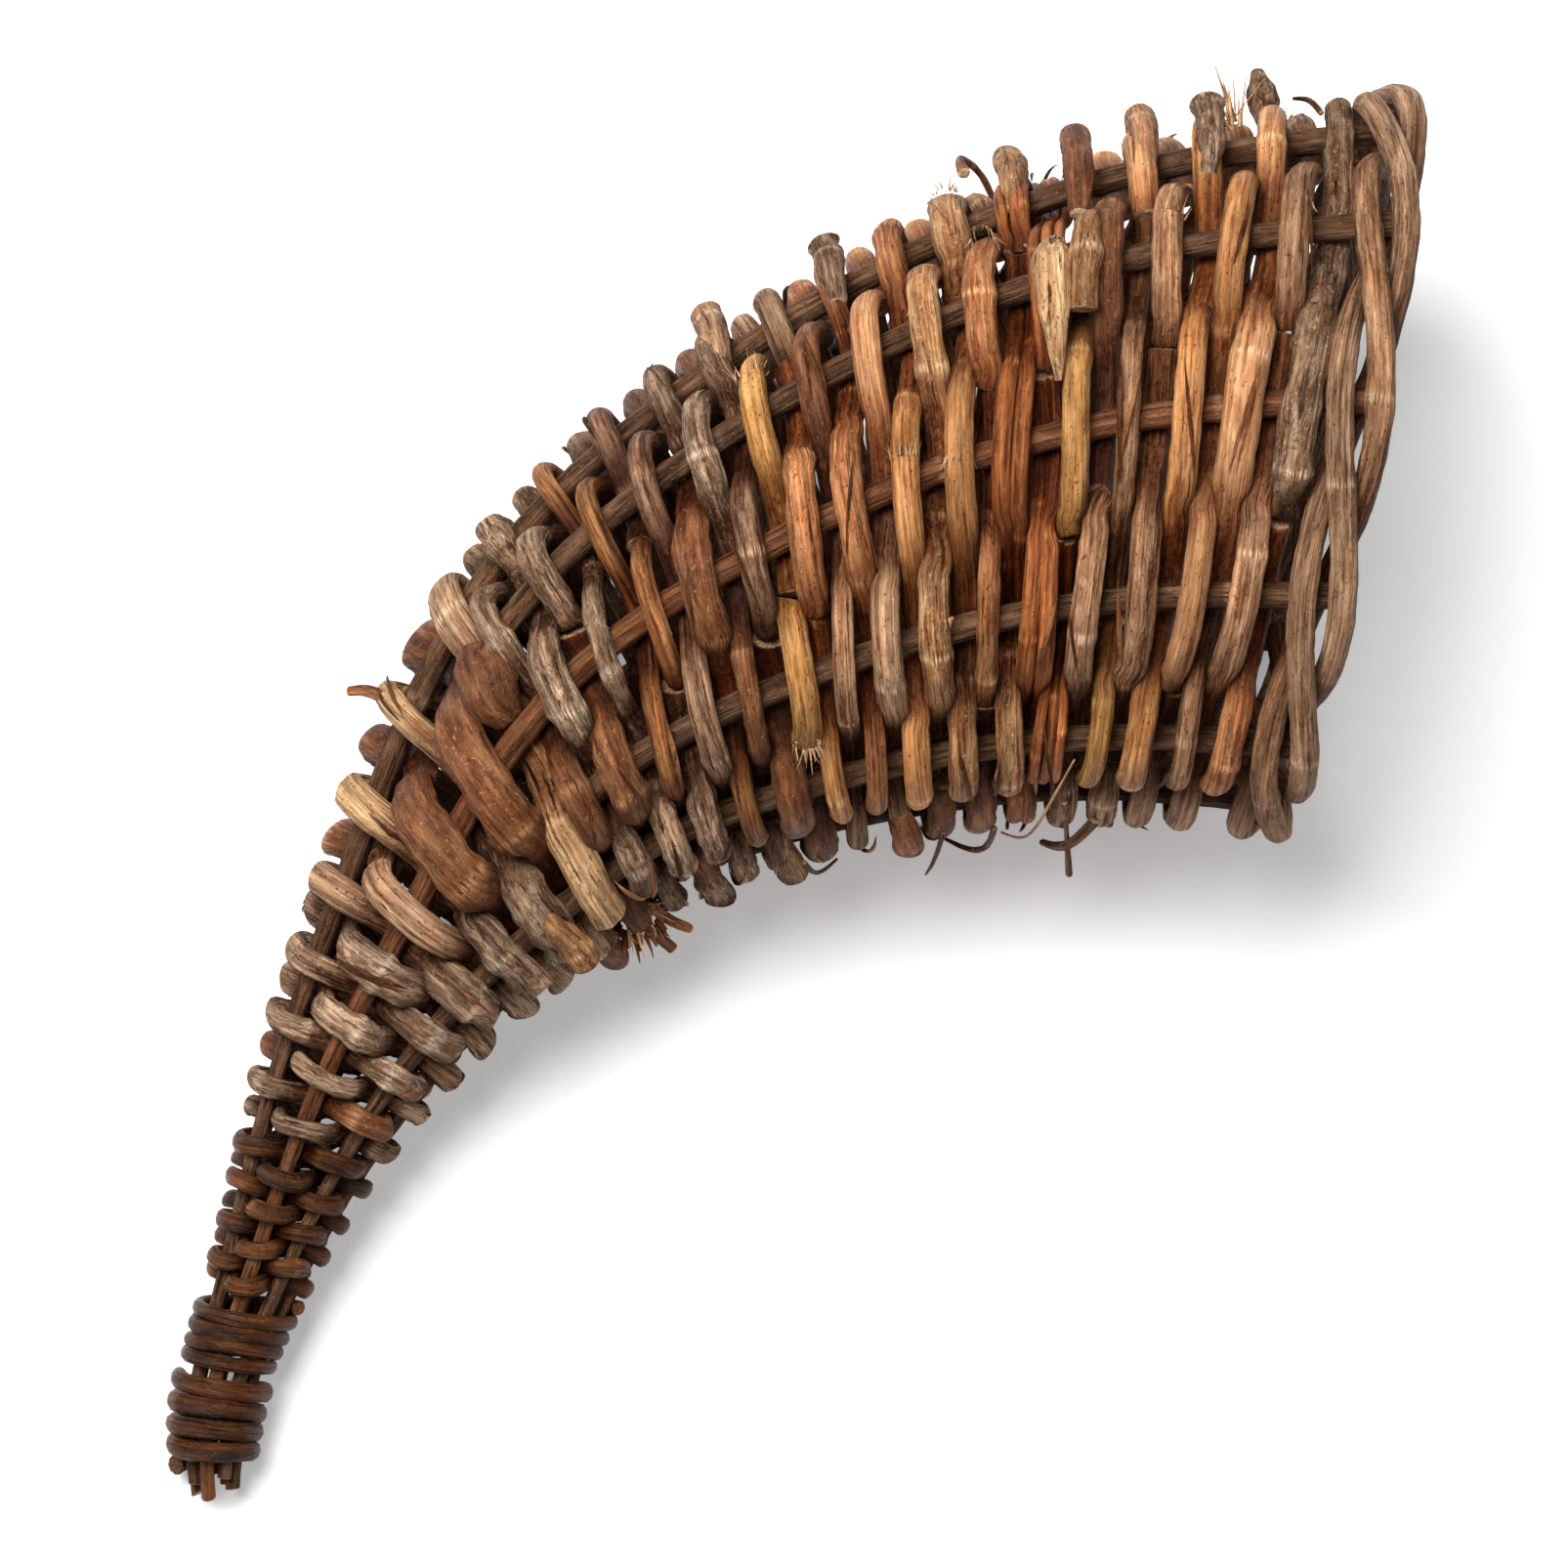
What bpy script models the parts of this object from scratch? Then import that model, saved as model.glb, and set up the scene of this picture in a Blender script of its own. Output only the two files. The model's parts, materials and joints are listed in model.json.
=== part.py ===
"""Cornucopia basket: a curved horn woven from vine canes, lying on its side as it rests on a table.

The horn is a smooth surface between a tail tip and an open mouth. Stakes run along it, and weaving canes spiral
round it, over one stake and under the next, until a wale of three canes closes the rim. The mouth opens to -Y,
the tail curls away to +Y and -X, and +Z is up.
"""

import math

import bmesh
import bpy
import numpy as np
from mathutils import Vector

for old in list(bpy.data.objects):
    bpy.data.objects.remove(old, do_unlink=True)

# The horn as a whole, in metres
mouth_height = 0.1300  # outside, across the open end, in the plane that the horn curves in
mouth_depth = 0.112  # outside, across the open end, square to that plane
horn_drop = 0.206  # from the middle of the mouth to the tail tip, along the mouth's plane
horn_back = 0.162  # from the mouth's plane back to the tail

# The canes, in metres
stake_diameter = 0.0043
stake_tip_diameter = 0.0021
cane_width = 0.0068
cane_thickness = 0.0042
tail_cane_width = 0.0031
tail_cane_thickness = 0.0021
binding_diameter = 0.0029
rim_cane_diameter = 0.0046
last_row_width = 0.0042  # of the row beside the rim, where it is squeezed on the concave side

# Clearances, in metres
weave_gap = 0.00034  # between a weaving cane and the stake that it crosses
row_gap = 0.0008  # between one row of weaving and the next
turn_gap = 0.00060  # between one turn of a wound or twined cane and the next
splice_gap = 0.0012  # between the end of one weaving cane and the start of the next
stake_end_room = 0.0030  # from a stake's end to the mouth's plane
foot_cut = 0.0005  # depth of the flats worn where the basket rests

# How many there are of each
stake_degrees = (180, 147, 114.5, 82, 49, 16.5, -18.5, -54, -90, -120, -150)  # round the mouth, from the concave side
inserted_stakes = (2, 4, 7, 9)  # numbers of the stakes that start where the horn widens
body_stakes = len(stake_degrees)
tail_stakes = body_stakes - len(inserted_stakes)
binding_turns = 4
neck_turns = 4
tail_canes, tail_cane_spans = 1, 49
bend_canes, bend_cane_spans = 7, 15
body_canes, body_cane_spans = 19, 17
rim_canes = 3
weave_sides = 5
stake_sides = 5
binding_sides = 6
binding_points_a_turn = 20

# The horn's middle line and sections, from the tail tip to the mouth, as shares of the sizes above
drop_shares = (1.00, 0.935, 0.840, 0.717, 0.609, 0.502, 0.393, 0.296, 0.214, 0.136, 0.056, 0.0)
back_shares = (0.985, 0.998, 0.985, 0.954, 0.917, 0.869, 0.815, 0.738, 0.627, 0.485, 0.280, 0.0)
height_shares = (0.100, 0.118, 0.145, 0.203, 0.275, 0.365, 0.490, 0.598, 0.690, 0.785, 0.893, 1.0)
section_lean_degrees = (106, 103, 101, 92, 77, 60, 42, 31, 23.5, 17, 9.5, 0)

# Where each part of the work begins and ends, as shares of the horn's length from the tail tip
binding_from_share = 0.020
neck_from_share, neck_to_share = 0.079, 0.116
tail_from_share, bend_from_share, body_from_share = 0.127, 0.205, 0.488
canes_grow_from_share, canes_grow_to_share = 0.15, 0.44
stakes_spread_from_share, stakes_spread_to_share = 0.20, 0.488
normal_step_share = 0.001

# The rim's wale: by stakes passed, how far out a cane lies and how far from the mouth, behind one stake and over two
wale_places = (0, 0.25, 0.5, 0.75, 1, 1.5, 2, 2.25, 2.5, 2.75, 3)
wale_out_shares = (-1, -0.7, 0, 0.7, 1, 1, 1, 0.7, 0, -0.7, -1)
wale_lean_shares = (0, -0.55, -1.0, -1.15, -1.0, 0, 1.0, 1.15, 1.0, 0.55, 0)
rim_lean_share = 0.62
rim_seam = 8.5  # stakes passed where the rim canes begin and end, on the far side
rim_end_share = 0.85  # of the last step of a rim cane, so that its ends meet but for a small gap

full_turn = 2 * math.pi


def smooth_curve(knots, values):
    """Returns a natural cubic spline through the values: no bend at its ends, and an even bend in between."""
    knots, values = np.asarray(knots, float), np.asarray(values, float)
    step = np.diff(knots)
    count = len(knots)
    rows = np.eye(count)
    right = np.zeros(count)
    for i in range(1, count - 1):
        rows[i, i - 1 : i + 2] = step[i - 1], 2 * (step[i - 1] + step[i]), step[i]
        right[i] = 6 * ((values[i + 1] - values[i]) / step[i] - (values[i] - values[i - 1]) / step[i - 1])
    bend = np.linalg.solve(rows, right)

    def at(place):
        place = np.asarray(place, float)
        i = np.clip(np.searchsorted(knots, place) - 1, 0, count - 2)
        a, b = (knots[i + 1] - place) / step[i], (place - knots[i]) / step[i]
        curve = ((a**3 - a) * bend[i] + (b**3 - b) * bend[i + 1]) * step[i] ** 2 / 6
        return a * values[i] + b * values[i + 1] + curve

    return at


def ease(place, start, end):
    """Runs from 0 at start to 1 at end, level at both."""
    t = np.clip((np.asarray(place, float) - start) / (end - start), 0, 1)
    return t * t * (3 - 2 * t)


def between(low, high, share):
    return low + (high - low) * share


# The horn's surface
middle_knots = np.column_stack([-horn_drop * np.array(drop_shares), horn_back * np.array(back_shares)])
knot_steps = np.linalg.norm(np.diff(middle_knots, axis=0), axis=1)
stations = np.concatenate([[0], np.cumsum(knot_steps)]) / knot_steps.sum()
middle_x = smooth_curve(stations, middle_knots[:, 0])
middle_y = smooth_curve(stations, middle_knots[:, 1])
height_share = smooth_curve(stations, height_shares)
lean = smooth_curve(stations, np.radians(section_lean_degrees))


def growth(u):
    return ease(u, canes_grow_from_share, canes_grow_to_share)


def stake_size(u):
    return between(stake_tip_diameter, stake_diameter, growth(u))


def thickness(u):
    return between(tail_cane_thickness, cane_thickness, growth(u))


def widest(u):
    return between(tail_cane_width, cane_width, growth(u))


def outset(u):
    """How far a weaving cane's middle lies outside or inside the stakes' middle where it crosses one."""
    return (stake_size(u) + thickness(u)) / 2 + weave_gap


def half_sizes(u):
    """The half height and half depth of the oval on which the stakes stand."""
    half = height_share(u) * mouth_height / 2
    deep = half * between(1, mouth_depth / mouth_height, u)
    room = outset(u) + thickness(u) / 2
    bundle = (stake_tip_diameter + weave_gap) / (2 * math.sin(math.pi / tail_stakes))
    return np.maximum(half - room, bundle), np.maximum(deep - room, bundle)


def surface(u, angle):
    """A point on the oval of station u: angle 0 is the convex side, a quarter turn is up."""
    u, angle = np.broadcast_arrays(np.asarray(u, float), np.asarray(angle, float))
    high, deep = half_sizes(u)
    across = high * np.cos(angle)
    x = middle_x(u) + across * np.cos(lean(u))
    y = middle_y(u) + across * np.sin(lean(u))
    return np.stack([x, y, deep * np.sin(angle)], axis=-1)


def along(u, angle):
    """How far the surface moves for each unit of u."""
    step = normal_step_share
    return (surface(u + step, angle) - surface(u - step, angle)) / (2 * step)


def outward(u, angle):
    """The surface's normal, pointing out of the horn."""
    step = normal_step_share
    round_way = surface(u, angle + step) - surface(u, angle - step)
    normal = np.cross(round_way, along(u, angle))
    normal /= np.linalg.norm(normal, axis=-1, keepdims=True)
    middle = surface(u, angle) - surface(u, angle + math.pi)
    return normal * np.sign((normal * middle).sum(axis=-1, keepdims=True))


def placed(u, angle, out):
    """A point set out from the surface, with the surface's normal there."""
    normal = outward(u, angle)
    return surface(u, angle) + normal * np.asarray(out, float)[..., None], normal


# Sweeping a cane along its path
def directions(path):
    """The unit direction of a path at each of its points."""
    step = np.gradient(path, axis=0)
    return step / np.linalg.norm(step, axis=1, keepdims=True)


def swept(path, normals, widths, depths, sides):
    """Oval rings square to the path: one row of points for each point of the path."""
    forward = directions(path)
    up = normals - (normals * forward).sum(axis=1, keepdims=True) * forward
    up /= np.linalg.norm(up, axis=1, keepdims=True)
    side = np.cross(up, forward)
    around = np.arange(sides) * full_turn / sides
    reach_side = np.broadcast_to(widths, len(path))[:, None, None] / 2 * side[:, None, :]
    reach_up = np.broadcast_to(depths, len(path))[:, None, None] / 2 * up[:, None, :]
    return path[:, None, :] + np.sin(around)[None, :, None] * reach_side + np.cos(around)[None, :, None] * reach_up


def faces_of(rings, sides):
    """Quads between neighbouring rings, and a cap on each end ring."""
    faces = [tuple(range(sides))]
    for i in range(rings - 1):
        for j in range(sides):
            k = (j + 1) % sides
            faces.append((i * sides + j, (i + 1) * sides + j, (i + 1) * sides + k, i * sides + k))
    last = (rings - 1) * sides
    faces.append(tuple(last + j for j in reversed(range(sides))))
    return faces


# Stakes, numbered from the concave side; a turn of the weave passes each of them once
def body_angle(number):
    return math.radians(stake_degrees[number])


every = list(range(body_stakes))
through = [n for n in every if n not in inserted_stakes]


def stake_angle(number, u):
    """Through stakes stand evenly in the tail, then spread to their places among the inserted ones."""
    if number in inserted_stakes:
        return body_angle(number) + 0 * np.asarray(u, float)
    tail_angle = math.pi - full_turn * through.index(number) / tail_stakes
    spread = ease(u, stakes_spread_from_share, stakes_spread_to_share)
    return between(tail_angle, body_angle(number), spread)


def crossing_angle(numbers, w, u):
    """The angle at stake count w, whole on each stake passed and falling by a full turn for each round."""
    lower = int(math.floor(w))
    ends = []
    for count in (lower, lower + 1):
        stake = numbers[count % len(numbers)]
        ends.append(stake_angle(stake, u) - full_turn * (count // len(numbers)))
    return between(ends[0], ends[1], w - lower)


# Weaving
grid = np.linspace(0, 1, 600)
inner_steps = np.linalg.norm(np.diff(surface(grid, math.pi), axis=0), axis=1)
inner_length = np.concatenate([[0], np.cumsum(inner_steps)])

rim_lean = rim_lean_share * (rim_cane_diameter + turn_gap)  # from the rim's middle line to a cane that passes a stake
rim_half_band = rim_lean * max(wale_lean_shares) + rim_cane_diameter / 2
rim_setback = rim_half_band + turn_gap / 2
rim_reach = rim_setback + rim_half_band + row_gap + last_row_width / 2


def mouth_rate(angle):
    """How far the surface moves for each unit of u, beside the mouth."""
    return np.linalg.norm(along(1 - normal_step_share, angle), axis=-1)


def set_back(distance, angle):
    """The station that lies a distance behind the mouth's plane, at an angle."""
    return 1 - distance / mouth_rate(angle)


body_to_share = float(set_back(rim_reach, math.pi))


def row_station(row, rows, start, end):
    """The station of a row, so that rows lie evenly along the concave side, where they crowd most."""
    ends = np.interp([start, end], grid, inner_length)
    return np.interp(between(ends[0], ends[1], row / rows), inner_length, grid)


def fanned(numbers, w, rows, start, end, reach):
    """The station at stake count w. Rows spread from start to the reach, which may differ from angle to angle."""
    u = row_station((w + 0.5) / len(numbers), rows, start, end)
    if reach is None:
        return u
    return start + (u - start) * (reach(crossing_angle(numbers, w, u)) - start) / (end - start)


def woven(numbers, first, last, rows, start, end, corner_shares, passed, reach=None):
    """Rings of one cane that passes stakes first to last, outside one and inside the next.

    Passed is how many crossings the work below has made, so that each part carries on where the last one ended.

    The path is level over each stake and slopes through the wall between two stakes. The cane is as wide as it
    grows, but where rows crowd on the concave side it is squeezed to what lies between its neighbours.
    """
    places, heights = [], []
    for count in range(first, last + 1):
        side = 1 if (count + passed) % 2 == 0 else -1
        for corner in corner_shares:
            places.append(count + corner)
            heights.append(side)
    u_of = lambda w: float(fanned(numbers, w, rows, start, end, reach))
    slope = 0.5 - corner_shares[-1]
    for count, side in ((first, -1), (last, 1)):
        angles = [crossing_angle(numbers, count + step, u_of(count)) for step in (0, side)]
        lead = np.linalg.norm(surface(u_of(count), angles[0]) - surface(u_of(count), angles[1]))
        cut = splice_gap / 2 / lead
        where = 0 if side < 0 else len(places)
        places.insert(where, count + side * (0.5 - cut))
        heights.insert(where, heights[0 if side < 0 else -1] * cut / slope)

    u = np.array([u_of(w) for w in places])
    angle = np.array([crossing_angle(numbers, w, s) for w, s in zip(places, u)])
    out = np.array(heights) * outset(u)
    high, deep = half_sizes(u)
    level = [crossing_angle(numbers, round(w) + c, s) for w, s in zip(places, u) for c in corner_shares[:2]]
    step = np.abs(np.diff(np.reshape(level, (-1, 2)), axis=1))[:, 0]
    sag = (high + deep) / 2 * (1 - np.cos(step / 2))
    out = np.where(out > 0, out + sag, out)
    path, normals = placed(u, angle, out)

    forward = directions(path)
    room = np.full(len(places), math.inf)
    for turn in (-1, 1):
        beside = np.array([u_of(w + turn * len(numbers)) for w in places])
        step = surface(beside, angle) - surface(u, angle)
        step -= (step * forward).sum(axis=1, keepdims=True) * forward
        room = np.minimum(room, np.linalg.norm(step, axis=1))
    widths = np.minimum(widest(u), room - row_gap)
    return swept(path, normals, widths, thickness(u), weave_sides)


def wound(start, end, turns, diameter, first_angle):
    """Rings of a cane wound round the outside of the bundle of stakes, and its path."""
    count = turns * binding_points_a_turn + 1
    share = np.linspace(0, 1, count)
    u = between(start, end, share)
    angle = first_angle - full_turn * turns * share
    out = np.full(count, (stake_tip_diameter + diameter) / 2 + weave_gap)
    path, normals = placed(u, angle, out)
    return swept(path, normals, diameter, diameter, binding_sides), path


def waled(strand):
    """Rings of one of three rim canes, each outside two stakes and inside the third, leaning towards the mouth."""
    steps_a_stake = 4
    count = body_stakes * steps_a_stake - 1
    w = rim_seam + np.linspace(1 / steps_a_stake, body_stakes - 1 / steps_a_stake, count)
    place = np.mod(w - strand, wale_places[-1])
    w[0] -= rim_end_share / steps_a_stake
    w[-1] += rim_end_share / steps_a_stake
    angle = np.array([crossing_angle(every, step, 1) for step in w])
    out = (stake_diameter + rim_cane_diameter) / 2 + weave_gap
    behind = rim_setback + rim_lean * np.interp(place, wale_places, wale_lean_shares)
    path, normals = placed(set_back(behind, angle), angle, out * np.interp(place, wale_places, wale_out_shares))
    return swept(path, normals, rim_cane_diameter, rim_cane_diameter, weave_sides)


# Every piece's rings, by name
pieces = {}
colours = {}

body_rows = body_canes * body_cane_spans / body_stakes
bend_rows = bend_canes * bend_cane_spans / tail_stakes
tail_rows = tail_canes * tail_cane_spans / tail_stakes
tail_passed = tail_canes * tail_cane_spans
bend_passed = tail_passed + bend_canes * bend_cane_spans
tail_end_shares = (0.004, 0.012, 0.001, 0.009, 0.003, 0.013, 0.006)
stake_start_share = 0.3  # of a row, from an inserted stake's start to its first crossing
stake_points_share = 0.026  # of the horn's length, from one point of a stake to the next

for number in every:
    if number in inserted_stakes:
        first_crossing = number - stake_start_share * body_stakes
        start = row_station((first_crossing + 0.5) / body_stakes, body_rows, body_from_share, body_to_share)
    else:
        start = tail_end_shares[through.index(number)]
    stake_end_share = float(set_back(stake_end_room, body_angle(number)))
    count = int(math.ceil((stake_end_share - start) / stake_points_share)) + 1
    u = np.linspace(start, stake_end_share, count)
    path, normals = placed(u, stake_angle(number, u), np.zeros(count))
    name = f"stake_{number + 1:02d}"
    pieces[name] = swept(path, normals, stake_size(u), stake_size(u), stake_sides)
    colours[name] = (0.115, 0.085, 0.066)

tail_grid, round_grid = np.meshgrid(np.linspace(binding_from_share, neck_from_share, 9), np.linspace(0, full_turn, 9))
slowest = np.linalg.norm(along(tail_grid, round_grid), axis=-1).min()
binding_rings, binding_path = wound(
    binding_from_share,
    binding_from_share + binding_turns * (binding_diameter + turn_gap) / slowest,
    binding_turns,
    binding_diameter,
    0.0,
)
pieces["tip_binding"] = binding_rings
colours["tip_binding"] = (0.060, 0.026, 0.013)
neck_rings, neck_path = wound(neck_from_share, neck_to_share, neck_turns, tail_cane_thickness, math.pi)
pieces["neck_wrap"] = neck_rings
colours["neck_wrap"] = (0.075, 0.033, 0.016)

for i in range(tail_canes):
    first = i * tail_cane_spans
    last = first + tail_cane_spans - 1
    name = f"tail_weaver_{i + 1}"
    pieces[name] = woven(through, first, last, tail_rows, tail_from_share, bend_from_share, (-0.25, 0.25), 0)
    colours[name] = (0.105, 0.045, 0.020)

bend_palette = ((0.150, 0.105, 0.075), (0.120, 0.070, 0.045), (0.200, 0.150, 0.110))
for i in range(bend_canes):
    first = i * bend_cane_spans
    last = first + bend_cane_spans - 1
    name = f"bend_weaver_{i + 1}"
    pieces[name] = woven(
        through, first, last, bend_rows, bend_from_share, body_from_share, (-0.25, 0.0, 0.25), tail_passed
    )
    colours[name] = bend_palette[i % len(bend_palette)]

body_palette = (
    (0.130, 0.060, 0.028),
    (0.210, 0.105, 0.045),
    (0.270, 0.150, 0.062),
    (0.330, 0.190, 0.085),
    (0.260, 0.170, 0.105),
    (0.230, 0.175, 0.130),
)
for i in range(body_canes):
    first = i * body_cane_spans
    last = first + body_cane_spans - 1
    name = f"body_weaver_{i + 1:02d}"
    pieces[name] = woven(
        every, first, last, body_rows, body_from_share, body_to_share, (-0.25, 0.25), bend_passed,
        reach=lambda angle: set_back(rim_reach, angle),
    )
    colours[name] = body_palette[i * len(body_palette) // body_canes]

for strand in range(rim_canes):
    name = f"rim_cane_{strand + 1}"
    pieces[name] = waled(strand)
    colours[name] = (0.250, 0.195, 0.150)


# Laying the horn down on the side that it rests on
lowest_side = -0.7  # a face whose normal is lower than this is one that the horn could lie on
rest_slack = 0.00002  # how far a point may reach past the face that the horn lies on


def volume_and_centre(rings):
    """Volume and centre of a swept piece, from the tetrahedra between its faces and the origin."""
    points = rings.reshape(-1, 3)
    volume, moment = 0.0, np.zeros(3)
    for face in faces_of(rings.shape[0], rings.shape[1]):
        for a, b in zip(face[1:-1], face[2:]):
            part = np.dot(points[face[0]], np.cross(points[a], points[b])) / 6
            volume += part
            moment += part * (points[face[0]] + points[a] + points[b]) / 4
    return volume, moment / volume


def resting_face(points, centre):
    """The lower face of the whole shape's hull that is nearest to its centre of mass, where it lies most firmly."""
    hull = bmesh.new()
    for point in points:
        hull.verts.new(point)
    bmesh.ops.convex_hull(hull, input=hull.verts)
    best, normal_there, point_there = math.inf, None, None
    for face in hull.faces:
        normal = np.array(face.normal)
        point = np.array(face.verts[0].co)
        height = np.dot(normal, point - centre)
        if height < 0:
            normal, height = -normal, -height
        if normal[2] < lowest_side and height < best and ((points - point) @ normal).max() < rest_slack:
            best, normal_there, point_there = height, normal, point
    hull.free()
    return normal_there, point_there


whole = np.concatenate([rings.reshape(-1, 3) for rings in pieces.values()])
masses = [volume_and_centre(rings) for rings in pieces.values()]
centre_of_mass = sum(v * c for v, c in masses) / sum(v for v, c in masses)
down, foot = resting_face(whole, centre_of_mass)
turn = np.array(Vector(down).rotation_difference(Vector((0, 0, -1))).to_matrix())
laid = {name: rings @ turn.T for name, rings in pieces.items()}
laid_foot = turn @ foot
box = np.concatenate([rings.reshape(-1, 3) for rings in laid.values()])
shift = np.array([
    -(box[:, 0].min() + box[:, 0].max()) / 2,
    -(box[:, 1].min() + box[:, 1].max()) / 2,
    -laid_foot[2] - foot_cut,
])


# Objects and materials
def cane_material(name, colour):
    material = bpy.data.materials.new(name)
    material.use_nodes = True
    shader = material.node_tree.nodes["Principled BSDF"]
    shader.inputs["Base Color"].default_value = (*colour, 1.0)
    shader.inputs["Roughness"].default_value = 0.68
    shader.inputs["Metallic"].default_value = 0.0
    material.diffuse_color = (*colour, 1.0)
    return material


def add_piece(name, rings, colour):
    """One closed solid from its rings, cut flat where it would reach below the table."""
    work = bmesh.new()
    verts = [work.verts.new(point) for point in rings.reshape(-1, 3)]
    for face in faces_of(rings.shape[0], rings.shape[1]):
        work.faces.new([verts[i] for i in face])
    if rings[..., 2].min() < 0:
        everything = work.verts[:] + work.edges[:] + work.faces[:]
        bmesh.ops.bisect_plane(work, geom=everything, plane_co=(0, 0, 0), plane_no=(0, 0, 1), clear_inner=True)
        bmesh.ops.holes_fill(work, edges=[e for e in work.edges if e.is_boundary])
    bmesh.ops.recalc_face_normals(work, faces=work.faces)
    mesh = bpy.data.meshes.new(name)
    work.to_mesh(mesh)
    work.free()
    mesh.shade_smooth()
    mesh.set_sharp_from_angle(angle=math.radians(75))
    mesh.materials.append(cane_material(name, colour))
    piece = bpy.data.objects.new(name, mesh)
    bpy.context.scene.collection.objects.link(piece)
    piece.parent = horn
    return piece


horn = bpy.data.objects.new("cornucopia_basket", None)
bpy.context.scene.collection.objects.link(horn)
for name, rings in laid.items():
    add_piece(name, rings + shift, colours[name])


def least_gap(path, diameter):
    """The least distance between two turns of a wound cane, measured on its points, less its diameter."""
    nearest = math.inf
    for i in range(len(path)):
        later = path[i + binding_points_a_turn // 2 :]
        if len(later):
            nearest = min(nearest, np.linalg.norm(later - path[i], axis=1).min())
    return nearest - diameter


for name, path, diameter in (
    ("tip_binding", binding_path, binding_diameter),
    ("neck_wrap", neck_path, tail_cane_thickness),
):
    print(f"{name}: least gap between turns {1000 * least_gap(path, diameter):.2f} mm")
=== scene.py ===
# %% [markdown]
# # A cornucopia basket, woven from vines
# A horn of plenty is a basket whose stakes start bundled at the tail and spread to a wide mouth, with vines woven over
# one stake and under the next all the way round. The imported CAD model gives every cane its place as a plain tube. Here
# each tube becomes real vines with knots, splices, bark and grain, on the very same path. They could be sculpted one
# by one, but every vine is an oval carried along a path, so a few functions make them all and keep them alike.

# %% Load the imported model
import json
import math

import bpy
import numpy as np
from mathutils import Matrix

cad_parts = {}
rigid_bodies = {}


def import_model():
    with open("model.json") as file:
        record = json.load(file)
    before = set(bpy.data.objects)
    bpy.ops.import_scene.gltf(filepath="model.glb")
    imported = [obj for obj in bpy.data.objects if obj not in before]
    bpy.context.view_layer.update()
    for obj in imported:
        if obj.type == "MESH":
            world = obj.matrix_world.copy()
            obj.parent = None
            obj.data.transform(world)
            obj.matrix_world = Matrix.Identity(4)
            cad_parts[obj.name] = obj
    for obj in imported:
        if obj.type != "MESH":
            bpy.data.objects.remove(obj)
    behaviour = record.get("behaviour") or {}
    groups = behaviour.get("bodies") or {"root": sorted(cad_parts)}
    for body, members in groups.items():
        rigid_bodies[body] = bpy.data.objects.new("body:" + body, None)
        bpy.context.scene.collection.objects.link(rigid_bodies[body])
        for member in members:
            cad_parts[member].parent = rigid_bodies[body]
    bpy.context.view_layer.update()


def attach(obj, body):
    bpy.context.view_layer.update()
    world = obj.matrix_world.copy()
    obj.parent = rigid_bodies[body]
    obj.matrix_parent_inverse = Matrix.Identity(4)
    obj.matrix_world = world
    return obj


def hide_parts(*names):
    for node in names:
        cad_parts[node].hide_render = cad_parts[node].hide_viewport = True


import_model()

scene = bpy.context.scene
full_turn = 2 * math.pi

# %% [markdown]
# ## How the horn lies
# The basket lies on its belly and its tail tip, tilted a little. It could be built in that pose straight away, but the
# weave is easier to set out when the horn curves in a flat plane with its mouth at the origin. One turn and one shift,
# which are those of the CAD model, then bring each finished point to where it rests.

# %% The horn's frame
rest_turn = np.array(
    (
        (0.982791483, 0.007597495, -0.184562281),
        (0.007597495, 0.996645749, 0.081483424),
        (0.184562281, -0.081483424, 0.979437172),
    )
)
rest_shift = np.array((0.069400810, -0.082354343, 0.057154545))


def at_rest(points):
    """Turns points of the horn's own frame, then shifts them, to where the basket lies."""
    return np.asarray(points, float) @ rest_turn.T + rest_shift


print("middle of the mouth:", np.round(at_rest((0, 0, 0)), 4))

# %% [markdown]
# ## Camera
# The photograph looks square on to the plane that the horn curves in, with the mouth edge-on at the right and the tail
# at the lower left. A camera could be nudged until the outlines meet; here it is worked out from that plane instead,
# so it stays right when the horn moves. A long lens from a metre away keeps perspective small.

# %% Camera
photo_right, photo_up = np.array((0.178, -0.984, 0.0)), np.array((0.984, 0.178, 0.0))
aim_left, aim_down = 0.0975, 0.0540
camera_distance, frame_width, sensor_width = 1.0, 0.2648, 36
aim = at_rest(-aim_left * photo_right - aim_down * photo_up)

camera = bpy.data.objects.new("camera", bpy.data.cameras.new("camera"))
scene.collection.objects.link(camera)
camera.data.sensor_width = sensor_width
camera.data.lens = sensor_width * camera_distance / frame_width
axes = [rest_turn @ axis / np.linalg.norm(axis) for axis in (photo_right, photo_up, np.array((0.0, 0.0, 1.0)))]


def standing(columns, place):
    """The matrix of an object that stands at a place with these three directions as its own axes."""
    matrix = np.eye(4)
    matrix[:3, :3], matrix[:3, 3] = np.column_stack(columns), place
    return Matrix(matrix.tolist())


camera.matrix_world = standing(axes, aim + axes[2] * camera_distance)
scene.camera = camera
print("camera at", np.round(aim + axes[2] * camera_distance, 3), "with a lens of", round(camera.data.lens, 1), "mm")

# %% [markdown]
# ## The shape of the horn
# The stakes of the real basket bend into a smooth horn. It could be drawn as a bevelled curve, but such a tube stays
# round. Here a natural cubic spline carries the middle line, the size of the ovals set across it and their lean, from
# the tail tip, where u is 0, to the mouth, where u is 1, so that the horn can be oval and its mouth can tilt.

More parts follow.
